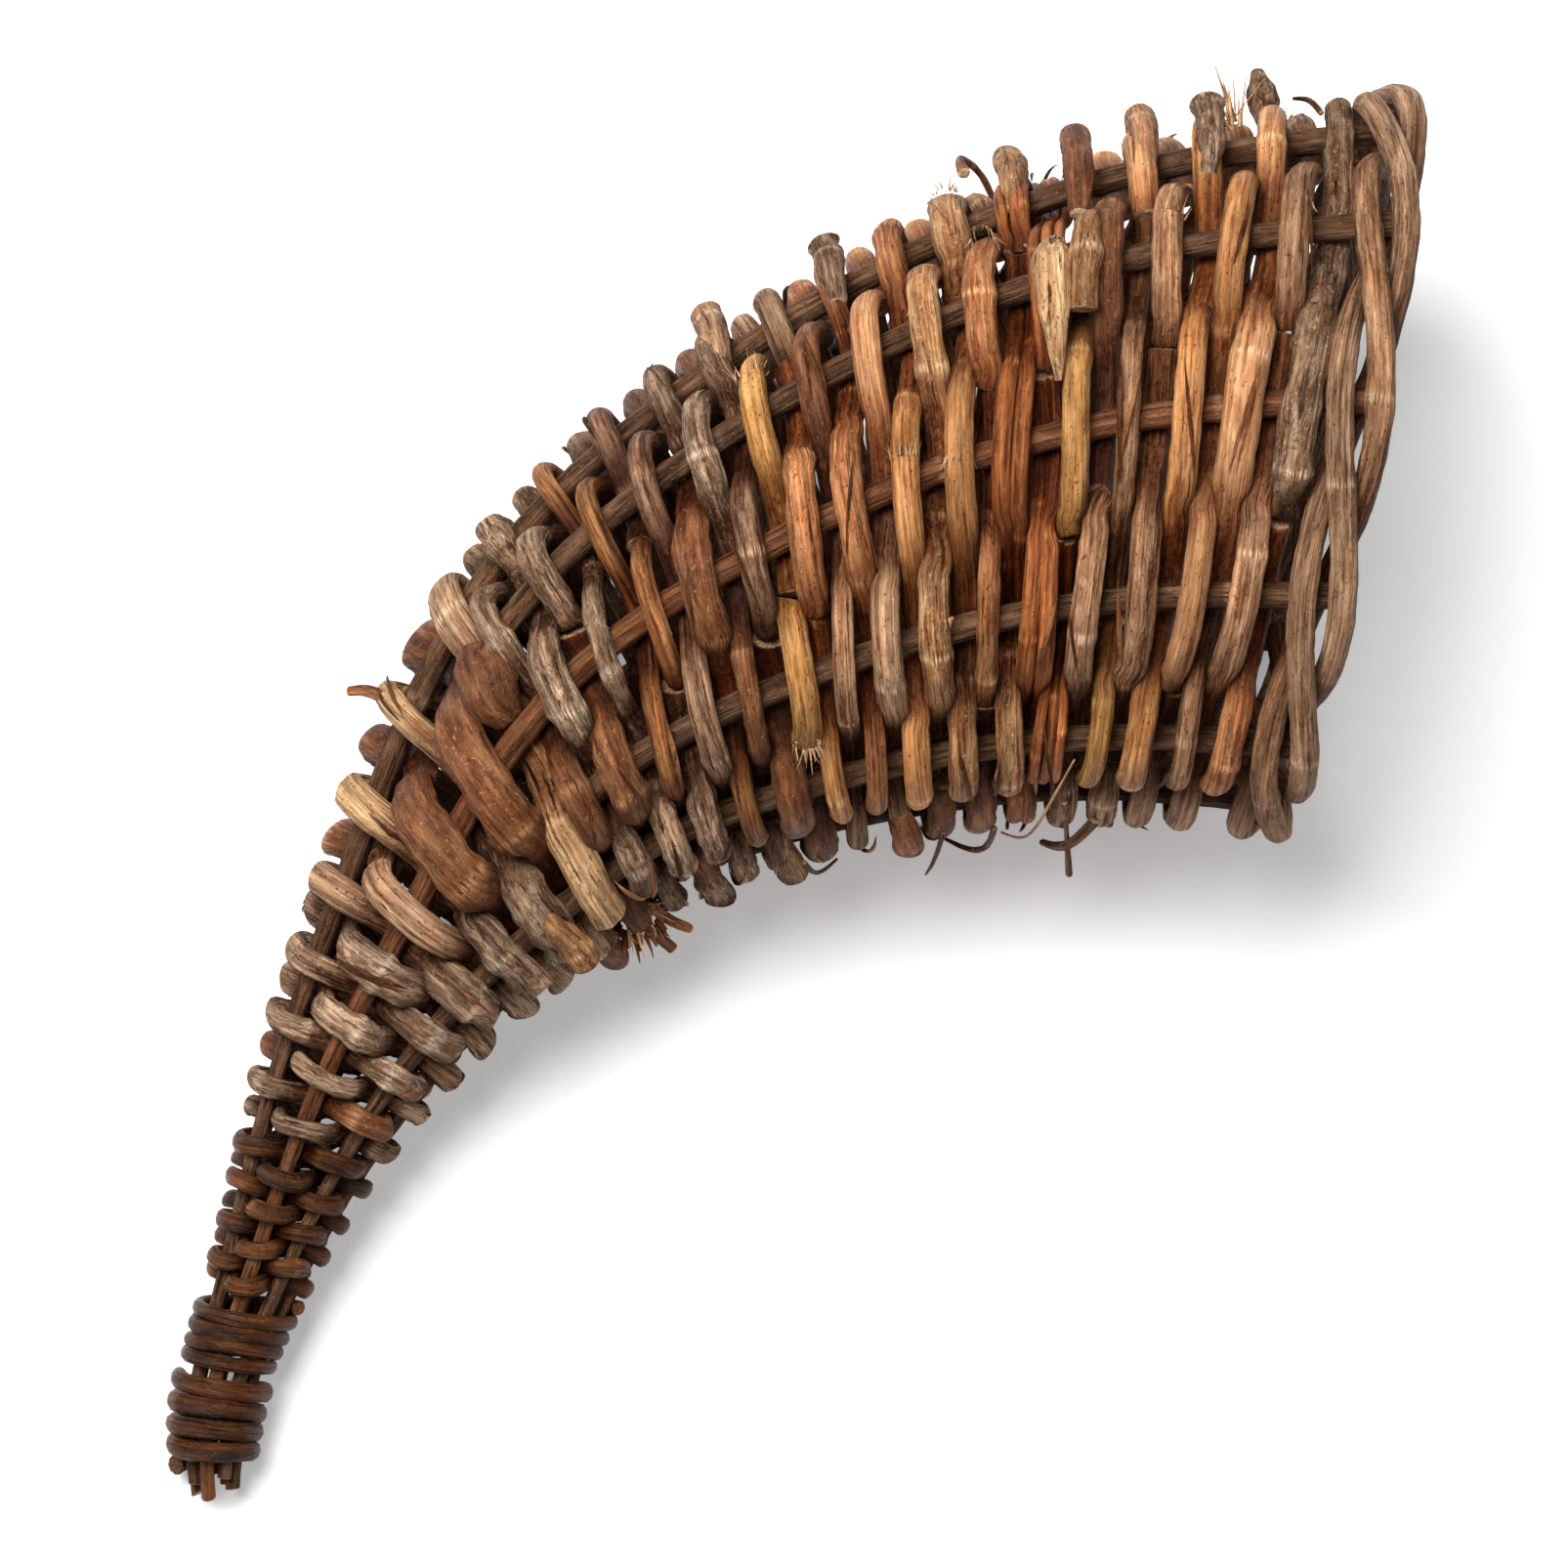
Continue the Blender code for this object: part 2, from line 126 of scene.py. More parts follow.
# %% Smooth curves
def smooth_curve(knots, values):
    """A natural cubic spline: through every value, with no bend at either end, as a function of arrays."""
    knots, values = np.asarray(knots, float), np.asarray(values, float)
    step = np.diff(knots)
    rows, right = np.eye(len(knots)), np.zeros(len(knots))
    for i in range(1, len(knots) - 1):
        rows[i, i - 1 : i + 2] = step[i - 1], 2 * (step[i - 1] + step[i]), step[i]
        right[i] = 6 * ((values[i + 1] - values[i]) / step[i] - (values[i] - values[i - 1]) / step[i - 1])
    bends = np.linalg.solve(rows, right)

    def at(place):
        place = np.asarray(place, float)
        i = np.clip(np.searchsorted(knots, place) - 1, 0, len(knots) - 2)
        a, b = (knots[i + 1] - place) / step[i], (place - knots[i]) / step[i]
        curve = ((a**3 - a) * bends[i] + (b**3 - b) * bends[i + 1]) * step[i] ** 2 / 6
        return a * values[i] + b * values[i + 1] + curve

    return at


def ease(place, start, end):
    """3t² - 2t³ between start and end: 0 before, 1 after, level at both."""
    t = np.clip((np.asarray(place, float) - start) / (end - start), 0, 1)
    return t * t * (3 - 2 * t)


def between(low, high, share):
    return low + (high - low) * share


# %% Sizes of the horn and its canes, in metres
mouth_height, mouth_depth = 0.1300, 0.112
horn_drop, horn_back = 0.206, 0.162
stake_diameter, stake_tip_diameter = 0.0043, 0.0021
cane_width, cane_thickness = 0.0068, 0.0042
tail_cane_width, tail_cane_thickness = 0.0031, 0.0021
binding_diameter, rim_cane_diameter, last_row_width = 0.0029, 0.0046, 0.0042
weave_gap, row_gap, turn_gap, splice_gap = 0.00034, 0.0008, 0.0006, 0.0012

drop_shares = np.array((1.00, 0.935, 0.840, 0.717, 0.609, 0.502, 0.393, 0.296, 0.214, 0.136, 0.056, 0.0))
back_shares = np.array((0.985, 0.998, 0.985, 0.954, 0.917, 0.869, 0.815, 0.738, 0.627, 0.485, 0.280, 0.0))
height_shares = (0.1, 0.118, 0.145, 0.203, 0.275, 0.365, 0.49, 0.598, 0.69, 0.785, 0.893, 1.0)
lean_degrees = (106, 103, 101, 92, 77, 60, 42, 31, 23.5, 17, 9.5, 0)

middle_knots = np.column_stack([-horn_drop * drop_shares, horn_back * back_shares])
knot_steps = np.linalg.norm(np.diff(middle_knots, axis=0), axis=1)
stations = np.concatenate([[0], np.cumsum(knot_steps)]) / knot_steps.sum()
middle_x, middle_y = smooth_curve(stations, middle_knots[:, 0]), smooth_curve(stations, middle_knots[:, 1])
height_share, lean = smooth_curve(stations, height_shares), smooth_curve(stations, np.radians(lean_degrees))
print("length of the horn's middle line:", round(knot_steps.sum() * 1000, 1), "mm")

# %% [markdown]
# ## The surface and its directions
# The stakes stand on an unseen surface, and each vine bulges out from it or dives in. A mesh of it could be shrunk on
# to, but a formula is exact and quick: a point comes from its station u and its angle round the oval, 0 on the convex
# side and a quarter turn on the side that faces up. All of the basket is set out from it, along its normal.

# %% The surface
tail_stakes = 7


def growth(u):
    """How far the canes have grown from their tail size to their body size."""
    return ease(u, 0.15, 0.44)


def stake_size(u):
    return between(stake_tip_diameter, stake_diameter, growth(u))


def cane_depth(u):
    return between(tail_cane_thickness, cane_thickness, growth(u))


def cane_breadth(u):
    return between(tail_cane_width, cane_width, growth(u))


def half_sizes(u):
    """The half height and half depth of the oval, less the room that canes take up outside the stakes."""
    half = height_share(u) * mouth_height / 2
    deep = half * between(1, mouth_depth / mouth_height, u)
    room = (stake_size(u) + cane_depth(u)) / 2 + weave_gap + cane_depth(u) / 2
    bundle = (stake_tip_diameter + weave_gap) / (2 * math.sin(math.pi / tail_stakes))
    return np.maximum(half - room, bundle), np.maximum(deep - room, bundle)


def surface(u, angle):
    """The middle point, plus the half height times cos(angle) across, plus the half depth times sin(angle) up."""
    u, angle = np.broadcast_arrays(np.asarray(u, float), np.asarray(angle, float))
    high, deep = half_sizes(u)
    across = high * np.cos(angle)
    return np.stack(
        [middle_x(u) + across * np.cos(lean(u)), middle_y(u) + across * np.sin(lean(u)), deep * np.sin(angle)], axis=-1
    )


def along(u, angle, step=0.001):
    """The change of the surface's point for each unit of u."""
    return (surface(u + step, angle) - surface(u - step, angle)) / (2 * step)


def outward(u, angle, step=0.001):
    """The cross product of the way round and the way along, turned so that it points out of the horn."""
    normal = np.cross(surface(u, angle + step) - surface(u, angle - step), along(u, angle))
    normal /= np.linalg.norm(normal, axis=-1, keepdims=True)
    middle = surface(u, angle) - surface(u, angle + math.pi)
    return normal * np.sign((normal * middle).sum(axis=-1, keepdims=True))


def placed(u, angle, out):
    """A point set out from the surface by a distance, and the surface's normal there."""
    normal = outward(u, angle)
    return surface(u, angle) + normal * np.asarray(out, float)[..., None], normal


print("the oval at the mouth:", np.round(np.array(half_sizes(1.0)) * 2000, 1), "mm between stakes")

# %% [markdown]
# ## Where the stakes run
# Eleven stakes stand round the mouth. Seven of them run on to the tail, where they close up into a bundle, and four
# are pushed into the weave where the horn widens, as a basket maker does. A weaver could be placed by its length, but
# then it would miss the stakes; here it is placed by the number of stakes that it has passed, so it always meets them.

# %% Stakes and rows
stake_degrees = np.array((180, 147, 114.5, 82, 49, 16.5, -18.5, -54, -90, -120, -150))
body_angles = np.radians(stake_degrees)
stake_count = len(stake_degrees)
every = np.arange(stake_count)
through = np.array((0, 1, 3, 5, 6, 8, 10))
tail_angles = np.full(stake_count, np.nan)
tail_angles[through] = math.pi - full_turn * np.arange(tail_stakes) / tail_stakes
body_from, spread_from = 0.488, 0.20


def stake_angle(number, u):
    """Even angles in the tail, which ease to the uneven ones of the body."""
    start = np.where(np.isnan(tail_angles[number]), body_angles[number], tail_angles[number])
    return between(start, body_angles[number], ease(u, spread_from, body_from))


def crossing_angle(numbers, w, u):
    """The angle at stake count w, whole on each stake and falling by a full turn for each round."""
    lower = np.floor(w).astype(int)
    ends = [stake_angle(numbers[c % len(numbers)], u) - full_turn * (c // len(numbers)) for c in (lower, lower + 1)]
    return between(ends[0], ends[1], w - lower)


grid = np.linspace(0, 1, 600)
inner_steps = np.linalg.norm(np.diff(surface(grid, math.pi), axis=0), axis=1)
inner_length = np.concatenate([[0], np.cumsum(inner_steps)])
rim_lean_share, widest_lean = 0.62, 1.15
rim_lean = rim_lean_share * (rim_cane_diameter + turn_gap)
rim_half_band = widest_lean * rim_lean + rim_cane_diameter / 2
rim_setback = rim_half_band + turn_gap / 2
rim_reach = rim_setback + rim_half_band + row_gap + last_row_width / 2


def set_back(distance, angle):
    """The station at a distance behind the mouth's plane: one less the distance by the surface's rate there."""
    return 1 - distance / np.linalg.norm(along(0.999, angle), axis=-1)


class Work:
    """A stretch of weaving: its stakes, its CAD canes, its stations, and the crossings that come before it."""

    def __init__(self, name, canes, spans, numbers, start, end, passed, fullness=1.0):
        self.name, self.spans, self.numbers = name, spans, numbers
        self.start, self.end, self.passed, self.fullness = start, end, passed, fullness
        self.ends = np.interp([start, end], grid, inner_length)
        self.canes, self.crossings = canes, canes * spans
        self.rows = self.crossings / len(numbers)

    def station(self, w, held=0.0):
        """Rows lie evenly along the concave side, and in the body they fan out to the rim's band on all sides."""
        w = np.asarray(w, float)
        row = (w + 0.5 - held) / len(self.numbers)
        u = np.interp(between(self.ends[0], self.ends[1], row / self.rows), inner_length, grid)
        if self.name == "body_weaver":
            reach = set_back(rim_reach, crossing_angle(every, w, 1.0))
            u = self.start + (u - self.start) * (reach - self.start) / (self.end - self.start)
        return u

    def nodes(self, start, end):
        """The CAD canes that lie between two stake counts."""
        numbers = range(int((start + 0.5) // self.spans), int(math.ceil((end + 0.5) / self.spans - 1e-6)))
        form = "{}_{:02d}" if self.name == "body_weaver" else "{}_{}"
        return [form.format(self.name, number + 1) for number in numbers]


body_to = float(set_back(rim_reach, math.pi))
tail = Work("tail_weaver", 1, 49, through, 0.127, 0.205, 0)
bend = Work("bend_weaver", 7, 15, through, 0.205, body_from, tail.crossings)
body = Work("body_weaver", 19, 17, every, body_from, body_to, tail.crossings + bend.crossings, 0.75)
print("crossings in the tail, bend and body:", tail.crossings, bend.crossings, body.crossings)

# %% [markdown]
# ## A vine along a path
# A real vine is never a tube: it swells and dips, has ribs and knots, and ends in a slanting cut. A curve object with
# a bevel gives a tube in one step, but no knots. Here rings of points follow the path, and every ring is scaled by a
# few slow waves. Each point also keeps where it lies in the straight, unbent vine, so that grain and bark run along
# it however it twists.

# %% Waves and knots of a vine's skin
def skin(rng, around, run, form):
    """One plus slow waves of the angle and the length, plus ribs, plus a swelling at each knot."""
    lumps, ribs, rib_depth, knot_every, knot_swell = form
    scale = np.ones((len(run), len(around)))
    for turns in (0, 1, 1, 2, 2, 3, 4):
        length = rng.uniform(0.007, 0.030) / (1 + 0.35 * turns)
        wave = full_turn * run[:, None] / length + turns * around + rng.uniform(0, full_turn)
        scale += lumps * rng.uniform(0.5, 1.0) * np.cos(wave) / (1 + 0.3 * turns)
    for turns in (0, 1, 2, 3):
        wave = full_turn * run[:, None] / rng.uniform(0.0025, 0.006) + turns * around + rng.uniform(0, full_turn)
        scale += 0.35 * lumps * rng.uniform(0.5, 1.0) * np.cos(wave)
    if ribs:
        twist = rng.uniform(-25, 25)
        scale += rib_depth * np.cos(ribs * around + twist * run[:, None] + rng.uniform(0, full_turn))
    knots = np.zeros(len(run))
    place = rng.uniform(0.2, 0.9) * knot_every
    while place < run[-1]:
        width = rng.uniform(0.0004, 0.0008)
        knots += np.exp(-(((run - place) / width) ** 2))
        lean_to = rng.uniform(0, full_turn)
        lump = np.exp(-(((run - place) / (3.2 * width)) ** 2))
        scale += knot_swell * lump[:, None] * (0.55 + 0.45 * np.cos(around - lean_to))
        place += knot_every * rng.uniform(0.6, 1.5)
    return scale, knots


def directions(path):
    """The unit direction of a path at each of its points."""
    step = np.gradient(path, axis=0)
    return step / np.linalg.norm(step, axis=1, keepdims=True)


def travelled(path):
    """The length of a path up to each of its points."""
    return np.concatenate([[0], np.cumsum(np.linalg.norm(np.diff(path, axis=0), axis=1))])


# %% Carrying an oval along a path
bevel, slant_reach = 0.00022, 0.0009
bevel_shares = (0.45, 0.90)


def with_ends(values):
    """A path's values, with the first and the last twice more, for the two rings that bevel each end."""
    return np.concatenate([values[:1], values[:1], values, values[-1:], values[-1:]])


def on_points(values, sides):
    """Values of a path's places as values of points: one for each ring's corners, then one for each end's tip."""
    values = with_ends(values)
    return np.concatenate([np.repeat(values, sides), values[[0, -1]]])


def carried(path, normals, widths, depths, sides, rng, form, slants=(0.0, 0.0), square=0.0):
    """Rings of points square to the path, closed at each end by a bevelled, slanting cut.

    A ring's point is the path, plus sin(around) times half the width sideways, plus cos(around) times half the depth
    along the normal, times the skin. Returns points, faces and the attributes of each point.
    """
    count = len(path)
    forward = directions(path)
    up = normals - (normals * forward).sum(axis=1, keepdims=True) * forward
    up /= np.linalg.norm(up, axis=1, keepdims=True)
    side = np.cross(up, forward)
    run = travelled(path)
    around = np.arange(sides) * full_turn / sides
    scale, knots = skin(rng, around, run, form)
    scale = scale * (1 + square * np.cos(4 * around))
    widths, depths = np.broadcast_to(widths, count), np.broadcast_to(depths, count)
    x = np.sin(around) * widths[:, None] / 2 * scale
    y = np.cos(around) * depths[:, None] / 2 * scale
    slanting = slants[0] * np.exp(-run / slant_reach) - slants[1] * np.exp((run - run[-1]) / slant_reach)
    shrink = np.concatenate([bevel_shares, np.ones(count), bevel_shares[::-1]])[:, None]
    jump = np.concatenate([[-bevel, -bevel], np.zeros(count), [bevel, bevel]])[:, None]
    push = with_ends(slanting[:, None] * y) * shrink + jump
    x, y = with_ends(x) * shrink, with_ends(y) * shrink
    base, side, up, forward = (with_ends(vectors)[:, None] for vectors in (path, side, up, forward))
    points = base + x[..., None] * side + y[..., None] * up + push[..., None] * forward
    points = np.concatenate([points.reshape(-1, 3), points[[0, -1]].mean(axis=1)])

    rings = count + 4
    ring, corner = np.meshgrid(np.arange(rings - 1), np.arange(sides), indexing="ij")
    beside = (corner + 1) % sides
    quads = np.stack([ring * sides + corner, (ring + 1) * sides + corner, (ring + 1) * sides + beside,
                      ring * sides + beside], axis=-1).reshape(-1, 4)
    corner = np.arange(sides)
    beside, last, tip = (corner + 1) % sides, (rings - 1) * sides, rings * sides
    first_cap = np.stack([np.full(sides, tip), corner, beside], axis=-1)
    last_cap = np.stack([np.full(sides, tip + 1), last + beside, last + corner], axis=-1)

    run_at = with_ends(run)[:, None]
    turned = around + run_at * rng.uniform(-8, 8)
    reach = np.hypot(x, y)
    grain = np.stack([reach * np.cos(turned), reach * np.sin(turned), run_at + push], axis=-1).reshape(-1, 3)
    grain = np.concatenate([grain, [[0, 0, run[0]], [0, 0, run[-1]]]]) + rng.uniform(0, 3, 3)
    cut = np.ones(len(points))
    cut[2 * sides : (rings - 2) * sides] = 0
    return points, quads, np.concatenate([first_cap, last_cap]), grain, {"cut": cut, "knot": on_points(knots, sides)}


def soiled(part, painted_shade, tint):
    """The same part with the amount of its painted shade and its tint: one value for all points, or one for each."""
    # The first attribute is the amount of painted shade, the second a random tint.
    for mark, value in (("painted_shade", painted_shade), ("tint", tint)):
        part[4][mark] = np.broadcast_to(value, len(part[0]))
    return part


def joined(parts):
    """Puts several parts into one, with the numbers of the faces' corners moved up to match."""
    offsets = np.concatenate([[0], np.cumsum([len(part[0]) for part in parts])[:-1]])
    faces = [np.concatenate([part[kind] + offset for part, offset in zip(parts, offsets)]) for kind in (1, 2)]
    points, grain = (np.concatenate([part[kind] for part in parts]) for kind in (0, 3))
    return points, *faces, grain, {mark: np.concatenate([part[4][mark] for part in parts]) for mark in parts[0][4]}


# %% Making the mesh
made = []


def make_piece(name, part, finish, nodes):
    """A closed mesh from arrays, with its attributes, its finish and the CAD canes it stands for.

    Whatever would reach below the table is pressed flat against it, as the canes of the model are.
    """
    points, quads, triangles, grain, marks = part
    resting = at_rest(points)
    resting[:, 2] = np.maximum(resting[:, 2], 0)
    mesh = bpy.data.meshes.new(name)
    corners = np.concatenate([quads.ravel(), triangles.ravel()]).astype(np.int32)
    sizes = np.concatenate([np.full(len(quads), 4), np.full(len(triangles), 3)])
    mesh.vertices.add(len(points))
    mesh.vertices.foreach_set("co", resting.astype(np.float32).ravel())
    mesh.loops.add(len(corners))
    mesh.loops.foreach_set("vertex_index", corners)
    mesh.polygons.add(len(sizes))
    mesh.polygons.foreach_set("loop_start", np.concatenate([[0], np.cumsum(sizes)[:-1]]).astype(np.int32))
    mesh.polygons.foreach_set("use_smooth", np.ones(len(sizes), bool))
    mesh.update(calc_edges=True)
    mesh.attributes.new("grain", "FLOAT_VECTOR", "POINT").data.foreach_set("vector", grain.astype(np.float32).ravel())
    for mark, values in marks.items():
        mesh.attributes.new(mark, "FLOAT", "POINT").data.foreach_set("value", values.astype(np.float32))
    mesh.materials.append(finishes[finish])
    piece = bpy.data.objects.new(name, mesh)
    scene.collection.objects.link(piece)
    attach(piece, "root")
    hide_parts(*nodes)
    made.append(piece)


# %% [markdown]
# ## What a vine's surface is made of
# Dried vine is never one colour. Fine lighter and darker streaks run along it, bark lies over it in blotches,
# and there are pale specks, pores and dark cracks. Where canes dive between the stakes their colour is darkened
# with painted shade, and on the crests outside it lie pale patches, partly wear and partly painted highlight. It
# could be painted on an image, but a pattern worked out from the straight vine's coordinates is sharp at any
# distance and never repeats. One node group does it, and each finish gives the group its own colours and amounts.

# %% Colours as they look on screen
def paint(red, green, blue):
    """Screen values out of 255 as linear light: ((v + 0.055) / 1.055) to the power 2.4, or v / 12.92 when dark."""
    v = np.array((red, green, blue)) / 255
    linear = np.where(v <= 0.04045, v / 12.92, ((v + 0.055) / 1.055) ** 2.4)
    return (*[float(c) for c in linear], 1.0)


# %% A small helper for nodes
class Nodes:
    """Adds nodes to a tree, and links or sets their inputs by name or number."""

    def __init__(self, tree):
        self.tree = tree

    def add(self, kind, settings=None, **inputs):
        node = self.tree.nodes.new(kind)
        for key, value in (settings or {}).items():
            setattr(node, key, value)
        for key, value in inputs.items():
            by_number = key[0] == "i" and key[1:].isdigit()
            socket = node.inputs[int(key[1:])] if by_number else node.inputs[key.replace("_", " ")]
            if isinstance(value, bpy.types.NodeSocket):
                self.tree.links.new(value, socket)
            else:
                socket.default_value = value
        return node

    def maths(self, what, a, b=0.0, clamp=False):
        return self.add("ShaderNodeMath", {"operation": what, "use_clamp": clamp}, i0=a, i1=b).outputs[0]

    def vector(self, what, a, b):
        key = "Scale" if what == "SCALE" else "i1"
        return self.add("ShaderNodeVectorMath", {"operation": what}, **{"i0": a, key: b}).outputs[0]

    def total(self, *terms):
        """Each value times its weight, all added up."""
        so_far = 0.0
        for value, weight in terms:
            node = self.add("ShaderNodeMath", {"operation": "MULTIPLY_ADD"}, i0=value, i1=weight, i2=so_far)
            so_far = node.outputs[0]
        return so_far

    def blend(self, share, a, b):
        return self.add("ShaderNodeMix", {"data_type": "RGBA"}, i0=share, i6=a, i7=b).outputs[2]

    def noise(self, vector, stretch, detail, rough, warp):
        inputs = {"Vector": self.vector("MULTIPLY", vector, stretch), "Scale": 1.0, "Detail": detail,
                  "Roughness": rough, "Distortion": warp}
        return self.add("ShaderNodeTexNoise", {"noise_dimensions": "3D"}, **inputs).outputs[0]

    def window(self, value, low, high, to_low=0.0, to_high=1.0):
        inputs = {"Value": value, "i1": low, "i2": high, "i3": to_low, "i4": to_high}
        return self.add("ShaderNodeMapRange", {"clamp": True, "interpolation_type": "SMOOTHSTEP"}, **inputs).outputs[0]


# %% The group that colours every vine: what it is given and what it gives back
colour_inputs = ("Dark", "Light", "Bark", "Speck", "Wood")
amount_inputs = ("Bark amount", "Speck amount", "Crack amount", "Streak width", "Rough low", "Rough high")
vine_group = bpy.data.node_groups.new("vine surface", "ShaderNodeTree")
sockets = [(label, "INPUT", "Color") for label in colour_inputs]
sockets += [(label, "INPUT", "Float") for label in amount_inputs]
sockets += [("Color", "OUTPUT", "Color"), ("Roughness", "OUTPUT", "Float"), ("Height", "OUTPUT", "Float")]
for label, way, kind in sockets:
    vine_group.interface.new_socket(label, in_out=way, socket_type="NodeSocket" + kind)

g = Nodes(vine_group)
given = g.add("NodeGroupInput").outputs
grain_at = g.add("ShaderNodeAttribute", {"attribute_name": "grain"}).outputs["Vector"]
# The attributes: a random tint, the amount of painted shade, the cut ends and the knots.
mark = {m: g.add("ShaderNodeAttribute", {"attribute_name": m}).outputs["Fac"] for m in ("tint", "painted_shade", "cut", "knot")}

# %% Its patterns, from fine fibre to broad stains
widened = g.vector("SCALE", grain_at, given["Streak width"])
patterns = (  # repeats per metre across and along the vine, detail, roughness, warp, then the window of values it shows
    (widened, 1500, 34, 4, 0.62, 0.3, (0.36, 0.64)),
    (widened, 3000, 90, 3, 0.6, 0.0, None),
    (grain_at, 420, 22, 2, 0.5, 0.0, (0.35, 0.65)),
    (grain_at, 620, 190, 5, 0.66, 0.5, (0.46, 0.55)),
    (grain_at, 2300, 1200, 2, 0.5, 0.0, (0.63, 0.70)),
    (grain_at, 1500, 75, 3, 0.55, 0.4, (0.60, 0.66)),
    (grain_at, 2400, 1500, 1, 0.4, 0.0, (0.68, 0.73)),
    (grain_at, 1300, 700, 4, 0.7, 0.0, None),
    (grain_at, 800, 130, 5, 0.7, 0.0, (0.40, 0.70, 0.0, 0.34)),
    (grain_at, 330, 85, 4, 0.65, 0.0, (0.32, 0.68, 0.70, 1.16)),
)
shown = []
for at, across_rate, along_rate, detail, roughness, warp, window in patterns:
    value = g.noise(at, (across_rate, across_rate, along_rate), detail, roughness, warp)
    shown.append(g.window(value, *window) if window else value)
streak, fibre, bands, bark, speck, crack, pore, mottle, wear_and_highlight, stain = shown

# %% Its colour, layer over layer
darkest = (0.008, 0.005, 0.003, 1)
pore_dark = (0.01, 0.005, 0.003, 1)
# The first colour multiplies every vine; the second is the darker, warmer colour of the painted shade in the gaps.
warmth, shade_tint = (1.14, 1.04, 0.95), (0.22, 0.108, 0.054)

share = g.maths("SUBTRACT", g.total((streak, 0.62), (fibre, 0.55), (bands, 0.28)), 0.29, True)
bark_here = g.maths("MULTIPLY", bark, given["Bark amount"], True)
speck_here = g.maths("MULTIPLY", speck, given["Speck amount"], True)
crack_here = g.maths("MULTIPLY", crack, given["Crack amount"], True)
knot_here = g.maths("MULTIPLY", mark["knot"], g.window(fibre, 0.42, 0.58), True)
# One less the painted shade: the crests of the vines, which stand out into the light.
unshaded = g.maths("SUBTRACT", 1.0, mark["painted_shade"], True)
layers = (  # how much of it covers what is below, and its colour
    (share, given["Light"]),
    (bark_here, g.blend(g.window(mottle, 0.35, 0.65, 0.0, 0.7), given["Bark"], given["Dark"])),
    (speck_here, given["Speck"]),
    (crack_here, g.blend(0.75, given["Dark"], darkest)),
    (g.maths("MULTIPLY", pore, 0.75), g.blend(0.6, given["Dark"], pore_dark)),
    (g.maths("MULTIPLY", knot_here, 0.8), given["Speck"]),
    (mark["cut"], g.blend(g.window(mottle, 0.3, 0.7, 0.0, 0.5), given["Wood"], given["Dark"])),
    # Pale patches on the crests only: partly wear, partly a painted highlight.
    (g.maths("MULTIPLY", unshaded, wear_and_highlight), given["Speck"]),
)
colour = given["Dark"]
for cover, layer in layers:
    colour = g.blend(cover, colour, layer)
bright = g.maths("MULTIPLY", g.maths("ADD", g.maths("MULTIPLY", mark["tint"], 0.40), 0.80), stain)
colour = g.vector("MULTIPLY", g.vector("SCALE", colour, bright), warmth)
# Painted shade: where a vine dives between the stakes its colour is multiplied darker and warmer, like the gaps in
# shade.
shade_share = g.maths("MULTIPLY", mark["painted_shade"], g.window(mottle, 0.25, 0.75, 0.65, 1.0))
colour = g.blend(shade_share, colour, g.vector("MULTIPLY", colour, shade_tint))

# %% Its relief and roughness
blotches = g.maths("MULTIPLY", bark_here, mottle)
height = g.total((streak, 0.42), (fibre, 0.35), (blotches, 0.9), (crack_here, -0.9), (speck_here, 0.25), (pore, -0.6),
                 (mottle, 0.5))
rough = g.window(g.total((fibre, 0.5), (bark_here, 0.6)), 0.1, 0.9, given["Rough low"], given["Rough high"])
g.add("NodeGroupOutput", None, Color=colour, Roughness=rough, Height=height)
print("nodes in the vine surface:", len(vine_group.nodes))

# %% [markdown]
# ## The finishes
# A basket like this mixes whatever vines were cut: ashen and grey with bark on, golden where they are peeled, thin
# red-brown shoots, dark glossy rattan at the tail. Each could be a shader of its own; giving one group seventeen sets
# of values keeps them kin, and a new vine is one more row of a table.

# %% The finishes
pale, dull = (232, 206, 168), (186, 148, 108)
bump_gain, sheen = 1.45, 0.07


def vine_finish(name, dark, light, bark, speck, amounts, roughs, relief, specular=sheen, wood=pale):
    """A material whose colour, roughness and relief come from the vine surface, with this finish's own values."""
    material = bpy.data.materials.new(name)
    material.use_nodes = True
    n = Nodes(material.node_tree)
    shader = material.node_tree.nodes["Principled BSDF"]
    look = n.add("ShaderNodeGroup", {"node_tree": vine_group})
    for label, value in zip(colour_inputs, (dark, light, bark, speck, wood)):
        look.inputs[label].default_value = paint(*value)
    for label, value in zip(amount_inputs, (*amounts, *roughs)):
        look.inputs[label].default_value = value
    bump = n.add("ShaderNodeBump", None, Strength=1.0, Distance=bump_gain * relief, Height=look.outputs["Height"])
    n.tree.links.new(look.outputs["Color"], shader.inputs["Base Color"])
    n.tree.links.new(look.outputs["Roughness"], shader.inputs["Roughness"])
    n.tree.links.new(bump.outputs["Normal"], shader.inputs["Normal"])
    shader.inputs["Specular IOR Level"].default_value = specular
    return material


